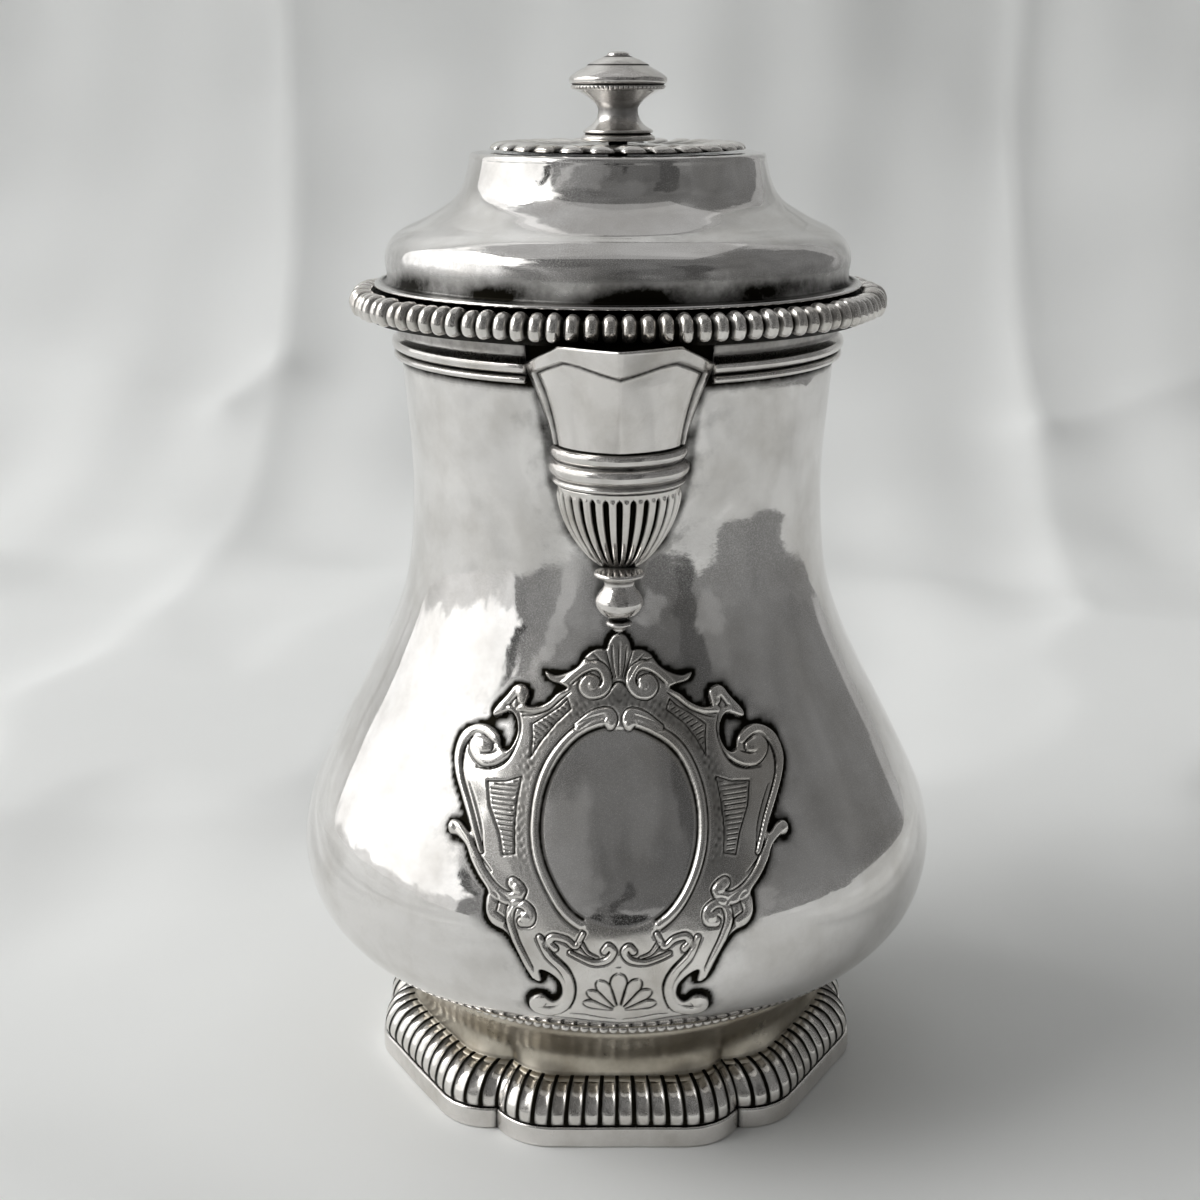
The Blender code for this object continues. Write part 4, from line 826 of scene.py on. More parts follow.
# Graved lines: a line and its half width.
LINES = [
    ([(26.0, 70.5), (27.4, 73.7), (27.7, 76.6), (26.9, 79.5), (25.2, 81.2), (23.0, 81.2)], 0.20),
    ([(25.0, 76.5), (22.4, 76.7), (19.9, 78.0), (18.2, 80.6), (17.3, 83.6), (17.6, 85.8)], 0.24),
    ([(23.9, 64.3), (24.1, 67.4), (25.1, 70.8), (26.3, 73.6)], 0.18),
    ([(8.4, 90.3), (10.2, 88.9), (12.4, 87.0), (15.0, 85.9), (16.9, 85.5)], 0.24),
    ([(13.1, 51.4), (11.4, 48.6), (9.0, 45.9), (7.7, 42.8), (7.8, 39.6), (8.6, 37.1)], 0.24),
    ([(20.9, 58.0), (18.6, 56.2), (19.8, 53.4), (18.6, 50.2)], 0.24),
    ([(17.0, 57.0), (16.0, 58.6), (17.2, 60.3)], 0.22),
    ([(0.0, 93.2), (0.0, 96.2), (0.0, 99.0)], 0.16),
    ([(0.55, 92.7), (1.1, 95.2), (1.35, 98.2)], 0.20),
    ([(0.9, 92.6), (1.7, 95.0), (2.4, 97.2)], 0.24),
    ([(1.3, 92.4), (2.9, 94.9), (4.5, 96.6)], 0.20),
    ([(1.6, 92.2), (3.4, 94.9), (6.0, 95.8)], 0.20),
    ([(0.0, 92.1), (0.7, 91.9), (1.2, 91.2)], 0.42),
    ([(0.6, 34.9), (3.2, 35.2), (6.0, 35.8), (8.6, 35.9)], 0.16),
    ([(25.6, 64.6), (24.0, 62.4), (22.2, 60.6)], 0.16),
]
SHELL_FOOT = (0.0, 37.3)         # where the small graved shell's petals spring from
PETALS = [(0, 8.2, 1.45), (27, 7.6, 1.30), (52, 7.0, 1.15), (76, 6.5, 1.00)]
PANELS = [([(17.0, 76.1), (19.8, 75.1), (23.0, 74.7), (22.6, 71.0), (20.9, 66.8), (20.2, 63.6),
            (18.1, 64.1), (18.3, 68.1), (17.9, 72.5)], 0.0, 0.78),
          ([(8.9, 89.2), (8.3, 87.5), (11.0, 85.1), (13.6, 82.0), (15.3, 79.4), (15.1, 82.6),
            (15.3, 84.4), (12.8, 86.1), (10.2, 87.9)], 0.42, 0.85)]

xs = np.arange(-31.0, 31.0 + GRID / 2, GRID)
zs = np.arange(31.8, 102.2, GRID)
flat = np.stack(np.meshgrid(xs, zs), -1).reshape(-1, 2)
waver = 0.13 * np.stack([unevenness(flat, 7, 31), unevenness(flat, 7, 32)], 1)
places = flat + waver            # the chaser's hand: nothing is quite straight or symmetrical
places[:, 0] = abs(places[:, 0])


def near(line, reach):
    """Which places lie within reach of a line's box."""
    low, high = np.min(line, 0) - reach, np.max(line, 0) + reach
    return np.flatnonzero(np.all((places > low) & (places < high), 1))


edge = inside_by(places, half_cartouche)
inner_oval = np.hypot(places[:, 0] / 13.3, (places[:, 1] - OVAL_MIDDLE) / 15.7)
in_field = np.clip((1 - inner_oval) * 13.3 / 0.35 + 0.5, 0, 1)
level = PLATE + (FIELD - PLATE) * in_field
level += 0.30 * np.clip(1 - inner_oval ** 2, 0, 1)
relief, cut, dark = np.zeros(len(places)), np.zeros(len(places)), np.zeros(len(places))

for line, start, end, height in SCROLLS:
    line = flowing(line, 5)
    some = near(line, 2.0)
    gap, share = nearest(places[some], line)
    width = 1.22 * (start + (end - start) * share)
    crown = 0.8 * height * np.clip(1 - (gap / width) ** 3, 0, 1) ** 0.5
    relief[some] = np.maximum(relief[some], crown)
    beside = groove(gap - width - 0.10, 0.27) * np.clip((edge[some] - 0.7) / 0.5, 0, 1)
    cut[some] = np.maximum(cut[some], beside)
for half_width, half_height, width in ((13.62, 16.0, 0.62), (15.5, 18.0, 0.32)):
    line = oval(half_width, half_height, 10, 153)
    some = near(line, 1.0)
    gap, _ = nearest(places[some], line)
    cut[some] = np.maximum(cut[some], groove(gap, width))
line = oval(14.6, 17.05, 9, 153)
some = near(line, 1.5)
gap, _ = nearest(places[some], line)
relief[some] = np.maximum(relief[some], 0.40 * np.sqrt(np.clip(1 - (gap / 0.72) ** 2, 0, 1)))
for line, width in LINES:
    line = flowing(line, 5)
    some = near(line, 1.0)
    gap, share = nearest(places[some], line)
    taper = 0.45 + 0.55 * np.sin(math.pi * np.clip(share, 0.04, 0.96)) ** 0.6
    cut[some] = np.maximum(cut[some], groove(gap, width * 1.5 * taper))
for lean_deg, length, width in PETALS:
    way = np.array([math.sin(math.radians(lean_deg)), math.cos(math.radians(lean_deg))])
    side = np.array([way[1], -way[0]])
    grow = np.linspace(0.18, 1.0, 16)
    swelling = width * np.sqrt(np.clip(1 - ((grow - 0.72) / 0.285) ** 2, 0, 1)) * (grow > 0.72)
    swelling = np.maximum(swelling, width * np.clip(grow / 0.72, 0, 1) ** 1.1 * (grow <= 0.72))
    spine = np.array(SHELL_FOOT) + np.outer(grow * length, way)
    for sign in (-1, 1):
        line = spine + sign * np.outer(swelling, side)
        some = near(line, 0.6)
        gap, _ = nearest(places[some], line)
        cut[some] = np.maximum(cut[some], groove(gap, 0.33))
    some = near(spine, 1.2)
    gap, share = nearest(places[some], spine)
    widening = width * (0.3 + 0.7 * share)
    relief[some] = np.maximum(relief[some], 0.20 * np.clip(1 - (gap / widening) ** 2, 0, 1))
for outline, lean_angle, pitch in PANELS:
    some = near(outline, 1.0)
    depth = inside_by(places[some], outline)
    cut[some] = np.maximum(cut[some], groove(depth, 0.30))
    up = places[some] @ np.array([-math.sin(lean_angle), math.cos(lean_angle)])
    stripe = groove((up / pitch % 1 - 0.5) * pitch, 0.27) * (depth > 0.35)
    cut[some] = np.maximum(cut[some], 0.95 * stripe)
    dark[some] = np.maximum(dark[some], 0.15 * (depth > 0))
ball_places = [(4.5, 91.4, 1.05), (23.9, 80.0, 1.15), (17.5, 58.8, 1.1), (16.2, 54.2, 0.9),
               (13.8, 38.2, 1.0), (1.55, 85.3, 0.8), (29.2, 66.4, 0.75), (17.2, 89.1, 0.95)]
for x, z, radius in ball_places:
    gap = np.hypot(places[:, 0] - x, places[:, 1] - z)
    relief = np.maximum(relief, 0.55 * np.sqrt(np.clip(1 - (gap / radius) ** 2, 0, 1)))
    cut = np.where(gap < radius * 0.85, 0, cut)

# The ground round the oval is matted with a small punch, and stays greyer than the scrolls.
outer_oval = np.hypot(places[:, 0] / 16.2, (places[:, 1] - OVAL_MIDDLE) / 18.8)
ground = np.clip((outer_oval - 1) * 40, 0, 1) * np.clip((1.22 - outer_oval) * 14, 0, 1)
ground *= np.clip((places[:, 1] - 58) / 6, 0, 1) * (relief < 0.05)
punched = 0.5 + 0.5 * unevenness(places, 0.45, 41)
dark = np.maximum(dark, ground * (0.30 + 0.35 * punched))
shell_ground = np.exp(-np.hypot(places[:, 0] / 5.5, (places[:, 1] - 89.3) / 2.2) ** 2)
dark = np.maximum(dark, 0.55 * shell_ground * (relief < 0.05))
dark = np.maximum(dark, 0.32 * (edge > 0) * (places[:, 1] > 91.5) * (relief < 0.05))

brink = np.clip((edge + 0.22) / 0.62, 0, 1)
height = level + relief - 0.30 * cut * (1 - 0.3 * in_field) - 0.05 * ground * punched
height = UNDER + 0.02 + (height - UNDER - 0.02) * np.sqrt(1 - (1 - brink) ** 2)
height += 0.02 * unevenness(flat, 3, 42) * (in_field < 0.5)
dark = np.maximum(dark, np.clip(1.15 * cut, 0, 1))
# Painted shade along the plate's outer edge, with tarnish in the joint.
dark = np.maximum(dark, np.clip((0.30 - edge) / 0.35, 0, 1))
dark *= 1 - 0.8 * np.clip((relief - 0.15) / 0.1, 0, 1)

shape = (len(zs), len(xs))
kept = (brink > 0).reshape(shape)
corner_kept = kept[:-1, :-1] | kept[1:, :-1] | kept[:-1, 1:] | kept[1:, 1:]
numbers = np.arange(len(flat)).reshape(shape)
cells = np.stack([numbers[:-1, :-1], numbers[:-1, 1:], numbers[1:, 1:], numbers[1:, :-1]], -1)
cells = cells[corner_kept]
used, packed = np.unique(cells, return_inverse=True)
front = packed.reshape(-1, 4)
over = on_body(flat[used, 0], flat[used, 1], height[used])
under = on_body(flat[used, 0], flat[used, 1], np.full(len(used), UNDER))
sides = np.concatenate([front[:, [0, 1]], front[:, [1, 2]], front[:, [2, 3]], front[:, [3, 0]]])
codes = sides[:, 0] * len(used) + sides[:, 1]
lone = sides[~np.isin(codes, sides[:, 1] * len(used) + sides[:, 0])]
faces = front.tolist() + (front[:, ::-1] + len(used)).tolist()
faces += [[b, a, a + len(used), b + len(used)] for a, b in lone.tolist()]
cartouche = piece("scrolled_cartouche", np.concatenate([over, under]), faces, cast_silver, "pot",
                  ["cartouche"], np.concatenate([dark[used], np.ones(len(used))]))
cartouche.data.materials.append(polished_silver)     # the field is polished like the body
middles = np.zeros(3 * len(cartouche.data.polygons))
cartouche.data.polygons.foreach_get("center", middles)
middles = middles.reshape(-1, 3) * 1000
in_oval = np.hypot(middles[:, 0] / 13.1, (middles[:, 2] - OVAL_MIDDLE) / 15.5) < 1
cartouche.data.polygons.foreach_set("material_index", in_oval.astype(int))


# -------------------------------------------------------------------- handle plates, sockets
# Two turned sockets stand on oval plates at the back of the body and hold the ends of the
# handle, each with a cross pin. Silver; the plates are soldered to the body.

TENON_RADIUS = 4.6
SOCKET_WALL, SOCKET_LENGTH, SOCKET_BASE = 0.9, 12.5, 3.5
PLATE_THICKNESS, PLATE_HALF_WIDTH, PLATE_HALF_HEIGHT = 1.2, 9.5, 10.5


def socket_place(height):
    """Foot and direction of a socket: square to the wall at the back of the body."""
    half = PLATE_HALF_HEIGHT / 2
    slope = (body_radius(height + half) - body_radius(height - half)) / PLATE_HALF_HEIGHT
    way = np.array([0.0, 1.0, -slope]) / math.hypot(1, slope)
    foot = np.array([0.0, body_radius(height) + PLATE_THICKNESS + 0.3, height])
    return foot, way


def stood(points, foot, way):
    """Points turned about +Z, stood up along a direction in the YZ plane."""
    side, up = np.array([1.0, 0, 0]), np.cross(way, (1.0, 0, 0))
    return foot + points[..., :1] * side + points[..., 1:2] * up + points[..., 2:] * way


bore = TENON_RADIUS + 0.25
outside = TENON_RADIUS + 0.3 + SOCKET_WALL
socket_section = rounded([(0.0, -0.3), (outside + 1.3, -0.3), (outside + 1.2, 0.9),
                          (outside + 0.3, 1.5), (outside + 0.6, 2.3), (outside, 3.2),
                          (outside, 8.9), (outside + 0.35, 9.4), (outside + 0.75, 10.2),
                          (outside + 0.8, 11.6), (outside + 0.3, SOCKET_LENGTH),
                          (bore, SOCKET_LENGTH), (bore, SOCKET_BASE), (0.0, SOCKET_BASE)],
                         0.5, 4, closed=False)
socket_dark = np.exp(-((socket_section[:, 1] - 1.6) / 0.4) ** 2)
socket_dark += np.exp(-((socket_section[:, 1] - 9.3) / 0.3) ** 2)
socket_dark += socket_section[:, 0] < bore + 0.1
for end, height in zip(("upper", "lower"), socket_heights):
    foot, way = socket_place(height)
    points, faces = lathe(socket_section, full_turn(72))
    piece(f"{end}_socket_turning", stood(points, foot, way), faces, plinth_silver, "pot",
          [f"handle_{end}_socket"], np.tile(socket_dark[:, None], (1, 72)))

    ring = np.sqrt(np.linspace(0, 1, 18))[:, None]
    turn = np.linspace(0, math.tau, 96, endpoint=False)[None]
    scallop = 1 + 0.035 * np.cos(12 * turn)
    x = PLATE_HALF_WIDTH * ring * np.cos(turn) * scallop
    z = height + PLATE_HALF_HEIGHT * ring * np.sin(turn) * scallop
    proud = PLATE_THICKNESS * np.clip((1 - ring) / 0.06, 0.0, 1) ** 0.5 * np.ones_like(turn)
    front, back = on_body(x, z, proud + 0.03), on_body(x, z, -0.3)
    front[..., 1] *= -1
    back[..., 1] *= -1
    plate = np.concatenate([front, back[::-1]])
    rays = 0.45 * (ring > 0.72) * np.clip(np.cos(24 * turn) * 2 - 1, 0, 1)
    piece(f"{end}_plate_casting", plate, quads(*plate.shape[:2], wrap_rows=False), cast_silver, "pot",
          [f"handle_{end}_plate"],
          np.concatenate([np.maximum(rays, (ring > 0.985) * 1.0), np.ones(back.shape[:2])]))

    pin_low, pin_high = in_mm(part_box(f"handle_{end}_pin"))
    half, radius = (pin_high[0] - pin_low[0]) / 2, (pin_high[2] - pin_low[2]) / 2
    section = rounded([(0, -half), (radius * 0.9, -half), (radius, -half + 0.2), (radius, half - 0.2),
                       (radius * 0.9, half), (0, half)], 0.25, 3, closed=False)
    points, faces = lathe(section, full_turn(32))
    middle = (pin_low + pin_high) / 2 - (0, AXIS_Y, 0)
    piece(f"{end}_cross_pin", points[..., [2, 1, 0]] + middle, faces, plinth_silver, "pot",
          [f"handle_{end}_pin"])


# ----------------------------------------------------------------------------------- handle
# The ear-shaped grip, sawn and carved from one piece of dark fruitwood, stained almost black
# and polished by hands. Its two round tenons are pinned in the sockets.

handle_high = 1000 * np.array(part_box("handle")[1])
HANDLE_DEPTH, HANDLE_HALF = 5.6, 4.8

# Pear or cherry wood, carved and oiled: the eye gets long brown streaks, fine pores along the
# grain and a soft waxed gloss.
fruitwood = bpy.data.materials.new("stained_fruitwood")
fruitwood.use_nodes = True
tree = fruitwood.node_tree
shader = tree.nodes["Principled BSDF"]
grain_place = add(tree, "Attribute", attribute_name="grain").outputs["Vector"]
streaks = add(tree, "TexNoise", {"Vector": grain_place, "Scale": per_size(2.0), "Detail": 5.0,
                                 "Roughness": 0.6, "Distortion": 0.4}).outputs["Fac"]
ramp = add(tree, "ValToRGB", {"Fac": streaks})
ramp.color_ramp.elements[0].position, ramp.color_ramp.elements[0].color = 0.30, linear("#1C0F09")
ramp.color_ramp.elements[1].position, ramp.color_ramp.elements[1].color = 0.75, linear("#54311C")
tree.links.new(ramp.outputs[0], shader.inputs["Base Color"])
pores = add(tree, "TexNoise", {"Vector": grain_place, "Scale": per_size(0.5),
                               "Detail": 3.0}).outputs["Fac"]
gloss = add(tree, "MapRange", {"Value": streaks, "To Min": 0.24, "To Max": 0.42}).outputs[0]
tree.links.new(gloss, shader.inputs["Roughness"])
shader.inputs["IOR"].default_value = 1.5
shader.inputs["Coat Weight"].default_value = 0.25
shader.inputs["Coat Roughness"].default_value = 0.2
wood_bump = add(tree, "Bump", {"Height": pores, "Strength": 0.6, "Distance": 0.00006})
tree.links.new(wood_bump.outputs[0], shader.inputs["Normal"])

(upper_foot, upper_way), (lower_foot, lower_way) = (socket_place(h) for h in socket_heights)


def along_socket(foot, way, distance):
    """Place in the YZ plane on a socket's axis."""
    return (foot + way * (distance + 0.3))[1:]


back = handle_high[1] - AXIS_Y - HANDLE_DEPTH
start, top = along_socket(upper_foot, upper_way, SOCKET_LENGTH + 3)
finish, foot = along_socket(lower_foot, lower_way, SOCKET_LENGTH + 3)
tall = top - foot
route = [along_socket(upper_foot, upper_way, distance)
         for distance in (SOCKET_BASE + 0.3, 9.0, SOCKET_LENGTH, SOCKET_LENGTH + 3)]
route += [(start + 0.45 * (back - start), top + 0.055 * tall),
          (start + 0.80 * (back - start), top - 0.005 * tall), (back - 1.0, top - 0.15 * tall),
          (back, top - 0.33 * tall), (back - 1.6, top - 0.53 * tall), (back - 4.4, top - 0.71 * tall),
          (finish + 0.55 * (back - finish), foot + 0.145 * tall),
          (finish + 0.22 * (back - finish), foot + 0.03 * tall)]
route += [along_socket(lower_foot, lower_way, distance)
          for distance in (SOCKET_LENGTH + 3, SOCKET_LENGTH, 8.0, SOCKET_BASE + 0.3)]
path = flowing(route, 10)
way = unit(np.gradient(path, axis=0))
passed = np.r_[0, np.cumsum(np.linalg.norm(np.diff(path, axis=0), axis=1))]
from_end = np.minimum(passed, passed[-1] - passed)
grip = np.clip((from_end - 13.0) / 9.0, 0, 1)
grip = grip * grip * (3 - 2 * grip)
collar_bead = np.exp(-((from_end - 11.2) / 0.9) ** 2)
swelling = np.sin(math.pi * passed / passed[-1]) ** 2
wide = TENON_RADIUS + (HANDLE_HALF - TENON_RADIUS + 0.2 * swelling) * grip + 1.0 * collar_bead
deep = TENON_RADIUS + (HANDLE_DEPTH - TENON_RADIUS) * grip + 1.0 * collar_bead
turn = np.linspace(0, math.tau, 40, endpoint=False)
squarish = 1 + 0.04 * grip[:, None] * np.cos(4 * turn + math.pi)
sideways = wide[:, None] * np.cos(turn) * squarish
inward = deep[:, None] * np.sin(turn) * squarish
grip_points = np.stack([sideways, path[:, :1] + inward * way[:, 1:],
                        path[:, 1:] - inward * way[:, :1]], -1)
middle_start = np.broadcast_to(np.r_[0, path[0]], grip_points[:1].shape)
middle_end = np.broadcast_to(np.r_[0, path[-1]], grip_points[:1].shape)
grip_points = np.concatenate([middle_start, grip_points, middle_end])
handle = piece("fruitwood_grip", grip_points, quads(*grip_points.shape[:2], wrap_rows=False), fruitwood,
               "pot", ["handle"])
grain = handle.data.attributes.new("grain", "FLOAT_VECTOR", "POINT")
spots = np.array([v.co for v in handle.data.vertices]) * 1000 - (0, AXIS_Y, 0)
closest = np.argmin(np.linalg.norm(spots[:, None, 1:] - path[None], axis=2), axis=1)
across_grip = np.stack([way[closest, 1], -way[closest, 0]], 1)
depth_in = np.einsum("ij,ij->i", spots[:, 1:] - path[closest], across_grip)
grain.data.foreach_set("vector", (np.stack([spots[:, 0], depth_in, passed[closest] * 0.06], 1) / 1000)
                       .astype(np.float32).ravel())


# ---------------------------------------------------------------------------------- lid dome
# The lid: a flat top, an upright drum, a sweep and a rolled shoulder over a narrow ledge.
# Raised sheet silver, planished and polished like the body.

dome_low, dome_high = in_mm(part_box("lid_dome"))
DRUM_RADIUS, SHOULDER_RADIUS = 27.9, 44.0
LEDGE_RADIUS = (dome_high[0] - dome_low[0]) / 2
LID_TOP = dome_high[2]
RING_TOP = dome_low[2] + 0.2     # the ring's top, where the dome stands on it
LID_SHEET = 0.9
STUD_HOLE = 2.1

spread = SHOULDER_RADIUS - DRUM_RADIUS
sweep = [(-1.3, 1.0), (-0.45, 0.992), (-0.1, 0.965), (0.0, 0.93), (0.04, 0.82), (0.10, 0.72),
         (0.21, 0.63), (0.38, 0.555), (0.57, 0.485), (0.77, 0.425), (0.91, 0.355), (0.98, 0.28),
         (1.0, 0.19), (0.985, 0.10), (0.985, 0.045)]
dome_wall = flowing([(DRUM_RADIUS + (s if s < 0 else s * spread), RING_TOP + (LID_TOP - RING_TOP) * h)
                     for s, h in sweep], 8)
ledge = rounded([tuple(dome_wall[-1]), (SHOULDER_RADIUS + 0.1, RING_TOP + 0.75),
                 (LEDGE_RADIUS - 0.1, RING_TOP + 0.45), (LEDGE_RADIUS, RING_TOP - 0.12),
                 (SHOULDER_RADIUS - 1.0, RING_TOP - 0.12)], 0.35, 4, closed=False)
slope = unit(np.gradient(dome_wall, axis=0))
dome_inner = (dome_wall + LID_SHEET * np.stack([slope[:, 1], -slope[:, 0]], 1))[-6::-4]
dome_section = np.vstack([[(STUD_HOLE, LID_TOP)], dome_wall, ledge[1:], dome_inner,
                          [(STUD_HOLE, LID_TOP - LID_SHEET)]])
points, faces = lathe(dome_section)
swell = 0.05 * unevenness(points, 22, 51) + 0.014 * unevenness(points, 8, 52)
points = points + swell[..., None] * (1, 1, 0) * around(full_turn(320), 1.0, 0.0)
# Darker towards the bottom of the dome, just above the ledge, and in a ring on the flat top out to the
# rosette's edge.
low_darkening = 1.05 * np.exp(-(np.clip(dome_section[:, 1] - RING_TOP - 0.4, 0, 99) / 4.4) ** 2)
low_darkening *= dome_section[:, 0] < 45.2
low_darkening += 0.45 * np.exp(-abs(dome_section[:, 1] - LID_TOP) / 0.2) * (dome_section[:, 0] < 24.8)
blotchy = 0.84 + 0.26 * unevenness(points * (1, 1, 2), 7, 53)
piece("domed_lid", points, faces, polished_silver, "lid", ["lid_dome"],
      low_darkening[:, None] * blotchy)


# ------------------------------------------------------------------------ lid gadroon border
# The heavy border round the lid's edge: ninety-eight rounded gadroons over the joint of lid
# and neck. Cast silver, chased, black between the gadroons.

LID_GADROONS = 98
ring_low, ring_high = in_mm(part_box("lid_gadroon_ring"))
RING_RADIUS = (ring_high[0] - ring_low[0]) / 2
RING_BORE = 42.6
across, size = hand_made(LID_GADROONS, GADROON_STEPS, 61)
turn = full_turn(LID_GADROONS * GADROON_STEPS)
tall = ring_high[2] - ring_low[2]
bulge_path = flowing([(LEDGE_RADIUS - 0.2, 0.97), (47.3, 1.0), (48.9, 0.99), (50.2, 0.86), (50.9, 0.62),
                      (50.95, 0.40), (50.4, 0.18), (49.2, 0.02)], 5)
bulge_path[:, 0] += RING_RADIUS - 51.0
slope = unit(np.gradient(bulge_path * (1, tall), axis=0))
rows, dark = [], []
for k, (radius, lift) in enumerate(bulge_path):
    share = k / (len(bulge_path) - 1)
    swell = gadroon_swell(across, share) * size ** 1.5
    sink = 1.4 * (swell - 1)
    height = ring_low[2] + tall * lift + sink * slope[k, 0]
    rows.append(around(turn, radius - sink * slope[k, 1], np.maximum(height, ring_low[2])))
    dark.append(1.05 - 1.5 * swell)
for radius, height in ((47.4, ring_low[2]), (RING_BORE, ring_low[2]), (RING_BORE, ring_high[2] - 0.3)):
    rows.append(around(turn, radius, np.full(len(turn), height)))
    dark.append(np.ones(len(turn)))
ring = np.array(rows)
piece("lid_gadroons", ring, quads(*ring.shape[:2]), cast_silver, "lid",
      ["lid_gadroon_ring"], np.array(dark))


# ----------------------------------------------------------------------------------- bezel
# The upright collar under the lid that drops into the mouth and keeps the lid centred. Silver
# strip, soldered inside the ring.

bezel_low, bezel_high = in_mm(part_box("lid_bezel"))
BEZEL_RADIUS, BEZEL_WALL = 39.8, 0.8
bezel_flange = (bezel_high[0] - bezel_low[0]) / 2
flange_low = bezel_high[2] - BEZEL_WALL
bezel = rounded([(BEZEL_RADIUS, flange_low), (BEZEL_RADIUS, bezel_low[2]),
                 (BEZEL_RADIUS - BEZEL_WALL, bezel_low[2]), (BEZEL_RADIUS - BEZEL_WALL, bezel_high[2]),
                 (bezel_flange, bezel_high[2]), (bezel_flange, flange_low)], 0.25, 3)
points, faces = lathe(bezel)
piece("lid_collar", points, faces, plinth_silver, "lid", ["lid_bezel"],
      np.tile(0.35 * (bezel[:, 1:] > flange_low - 0.3), (1, points.shape[1])))


# ---------------------------------------------------------------------------------- rosette
# The cut-card rosette on the flat of the lid: twenty-six swirled, drop-shaped petals with a
# scalloped edge that stands a hair off the lid. Cast and chased silver.

PETAL_COUNT = 26
PETAL_STEPS = 18
rosette_low, rosette_high = in_mm(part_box("rosette"))
ROSETTE_RADIUS = (rosette_high[0] - rosette_low[0]) / 2
thick = rosette_high[2] - rosette_low[2]
SWIRL = 0.9                      # how many petals' width the swirl carries each petal round
columns = PETAL_COUNT * PETAL_STEPS
turn = full_turn(columns)
reach = np.r_[STUD_HOLE / ROSETTE_RADIUS, np.linspace(0.2, 0.9, 26), np.linspace(0.92, 1.0, 9)]
cell = (np.arange(columns) % PETAL_STEPS + 0.5) / PETAL_STEPS * 2 - 1
scallop = 1 - 0.045 * abs(cell) ** 3
rows, dark = [], []
for share in reach:
    drop = np.clip((share - 0.40) / 0.42, 0, 1) ** 1.2
    body_width = 0.30 + 0.50 * drop
    swell = np.clip(1 - (abs(cell) / body_width) ** 2.2, 0, 1) ** 0.5 * drop
    edge_fall = np.sqrt(np.clip(1 - np.clip((share - 0.90) / 0.10, 0, 1) ** 2, 0, 1))
    boss = 0.45 * np.exp(-(share / 0.42) ** 8)
    level = 0.18 + (0.22 + 0.60 * swell) * edge_fall + boss * 0.6
    twist = SWIRL * (share - 1) * math.tau / PETAL_COUNT
    rows.append(around(turn + twist, share * ROSETTE_RADIUS * (scallop if share > 0.9 else 1.0),
                       rosette_low[2] + thick * np.clip(level, 0, 1)))
    dark.append(np.clip(1.15 - 1.7 * swell, 0, 1) * drop ** 0.5 * (share > 0.42))
for share, lift in ((0.975, 0.28), (0.90, 0.24), (0.86, 0.0), (STUD_HOLE / ROSETTE_RADIUS, 0.0)):
    rows.append(around(turn, share * ROSETTE_RADIUS, np.full(columns, rosette_low[2] + thick * lift)))
    dark.append(np.ones(columns))
petals = np.array(rows)
piece("lid_rosette", petals, quads(*petals.shape[:2]), cast_silver, "lid",
      ["rosette"], np.array(dark))


# ----------------------------------------------------------------------------------- finial
# The mushroom knob, turned from a silver casting, with a notched line round its widest part.
# A stud below it passes through the lid and takes the washer and the nut.

finial_low, finial_high = in_mm(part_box("finial"))
FINIAL_RADIUS = (finial_high[0] - finial_low[0]) / 2
FINIAL_BASE = rosette_high[2] + 0.05
STUD_RADIUS = 1.8
tall = finial_high[2] - FINIAL_BASE
profile = [(0.0, 1.0), (0.13, 0.997), (0.21, 0.978), (0.235, 0.952), (0.30, 0.937), (0.45, 0.905),
           (0.58, 0.868), (0.62, 0.850), (0.64, 0.838), (0.76, 0.800), (0.88, 0.760), (0.975, 0.720),
           (1.0, 0.688), (0.985, 0.655), (0.93, 0.635), (0.965, 0.612), (0.94, 0.585), (0.83, 0.560),
           (0.66, 0.510), (0.52, 0.455), (0.43, 0.395), (0.405, 0.340), (0.43, 0.270), (0.50, 0.205),
           (0.62, 0.150), (0.70, 0.125), (0.715, 0.100), (0.66, 0.085), (0.72, 0.065), (0.76, 0.040),
           (0.75, 0.010), (0.70, 0.0)]
knob = flowing([(FINIAL_RADIUS * r, FINIAL_BASE + tall * h) for r, h in profile], 5)
knob[:, 0] = np.maximum(knob[:, 0], 0)
stud = rounded([(STUD_RADIUS, FINIAL_BASE), (STUD_RADIUS, finial_low[2]), (0.0, finial_low[2])], 0.3, 3,
               closed=False)
knob = np.vstack([knob, stud])
NOTCHES = 60
turn = full_turn(NOTCHES * 6)
points, faces = lathe(knob, turn)
line = np.exp(-((knob[:, 1] - FINIAL_BASE - 0.600 * tall) / 0.30) ** 2)
line *= knob[:, 0] > 0.8 * FINIAL_RADIUS
notch = np.clip(np.cos(turn * NOTCHES), 0, 1) ** 2
points = points - (0.22 * line[:, None] * notch)[..., None] * around(turn, 1.0, 0.0)
creases = sum(np.exp(-((knob[:, 1] - FINIAL_BASE - share * tall) / width) ** 2) * (knob[:, 0] > 1.85)
              for share, width in ((0.850, 0.14), (0.945, 0.14), (0.636, 0.16), (0.086, 0.16)))
# A broad darker band round the narrow stem below the cap.
creases += 0.55 * np.exp(-((knob[:, 1] - FINIAL_BASE - 0.36 * tall) / 1.9) ** 2)
piece("mushroom_knob", points, faces, plinth_silver, "lid", ["finial"],
      np.maximum(creases[:, None], line[:, None] * notch))

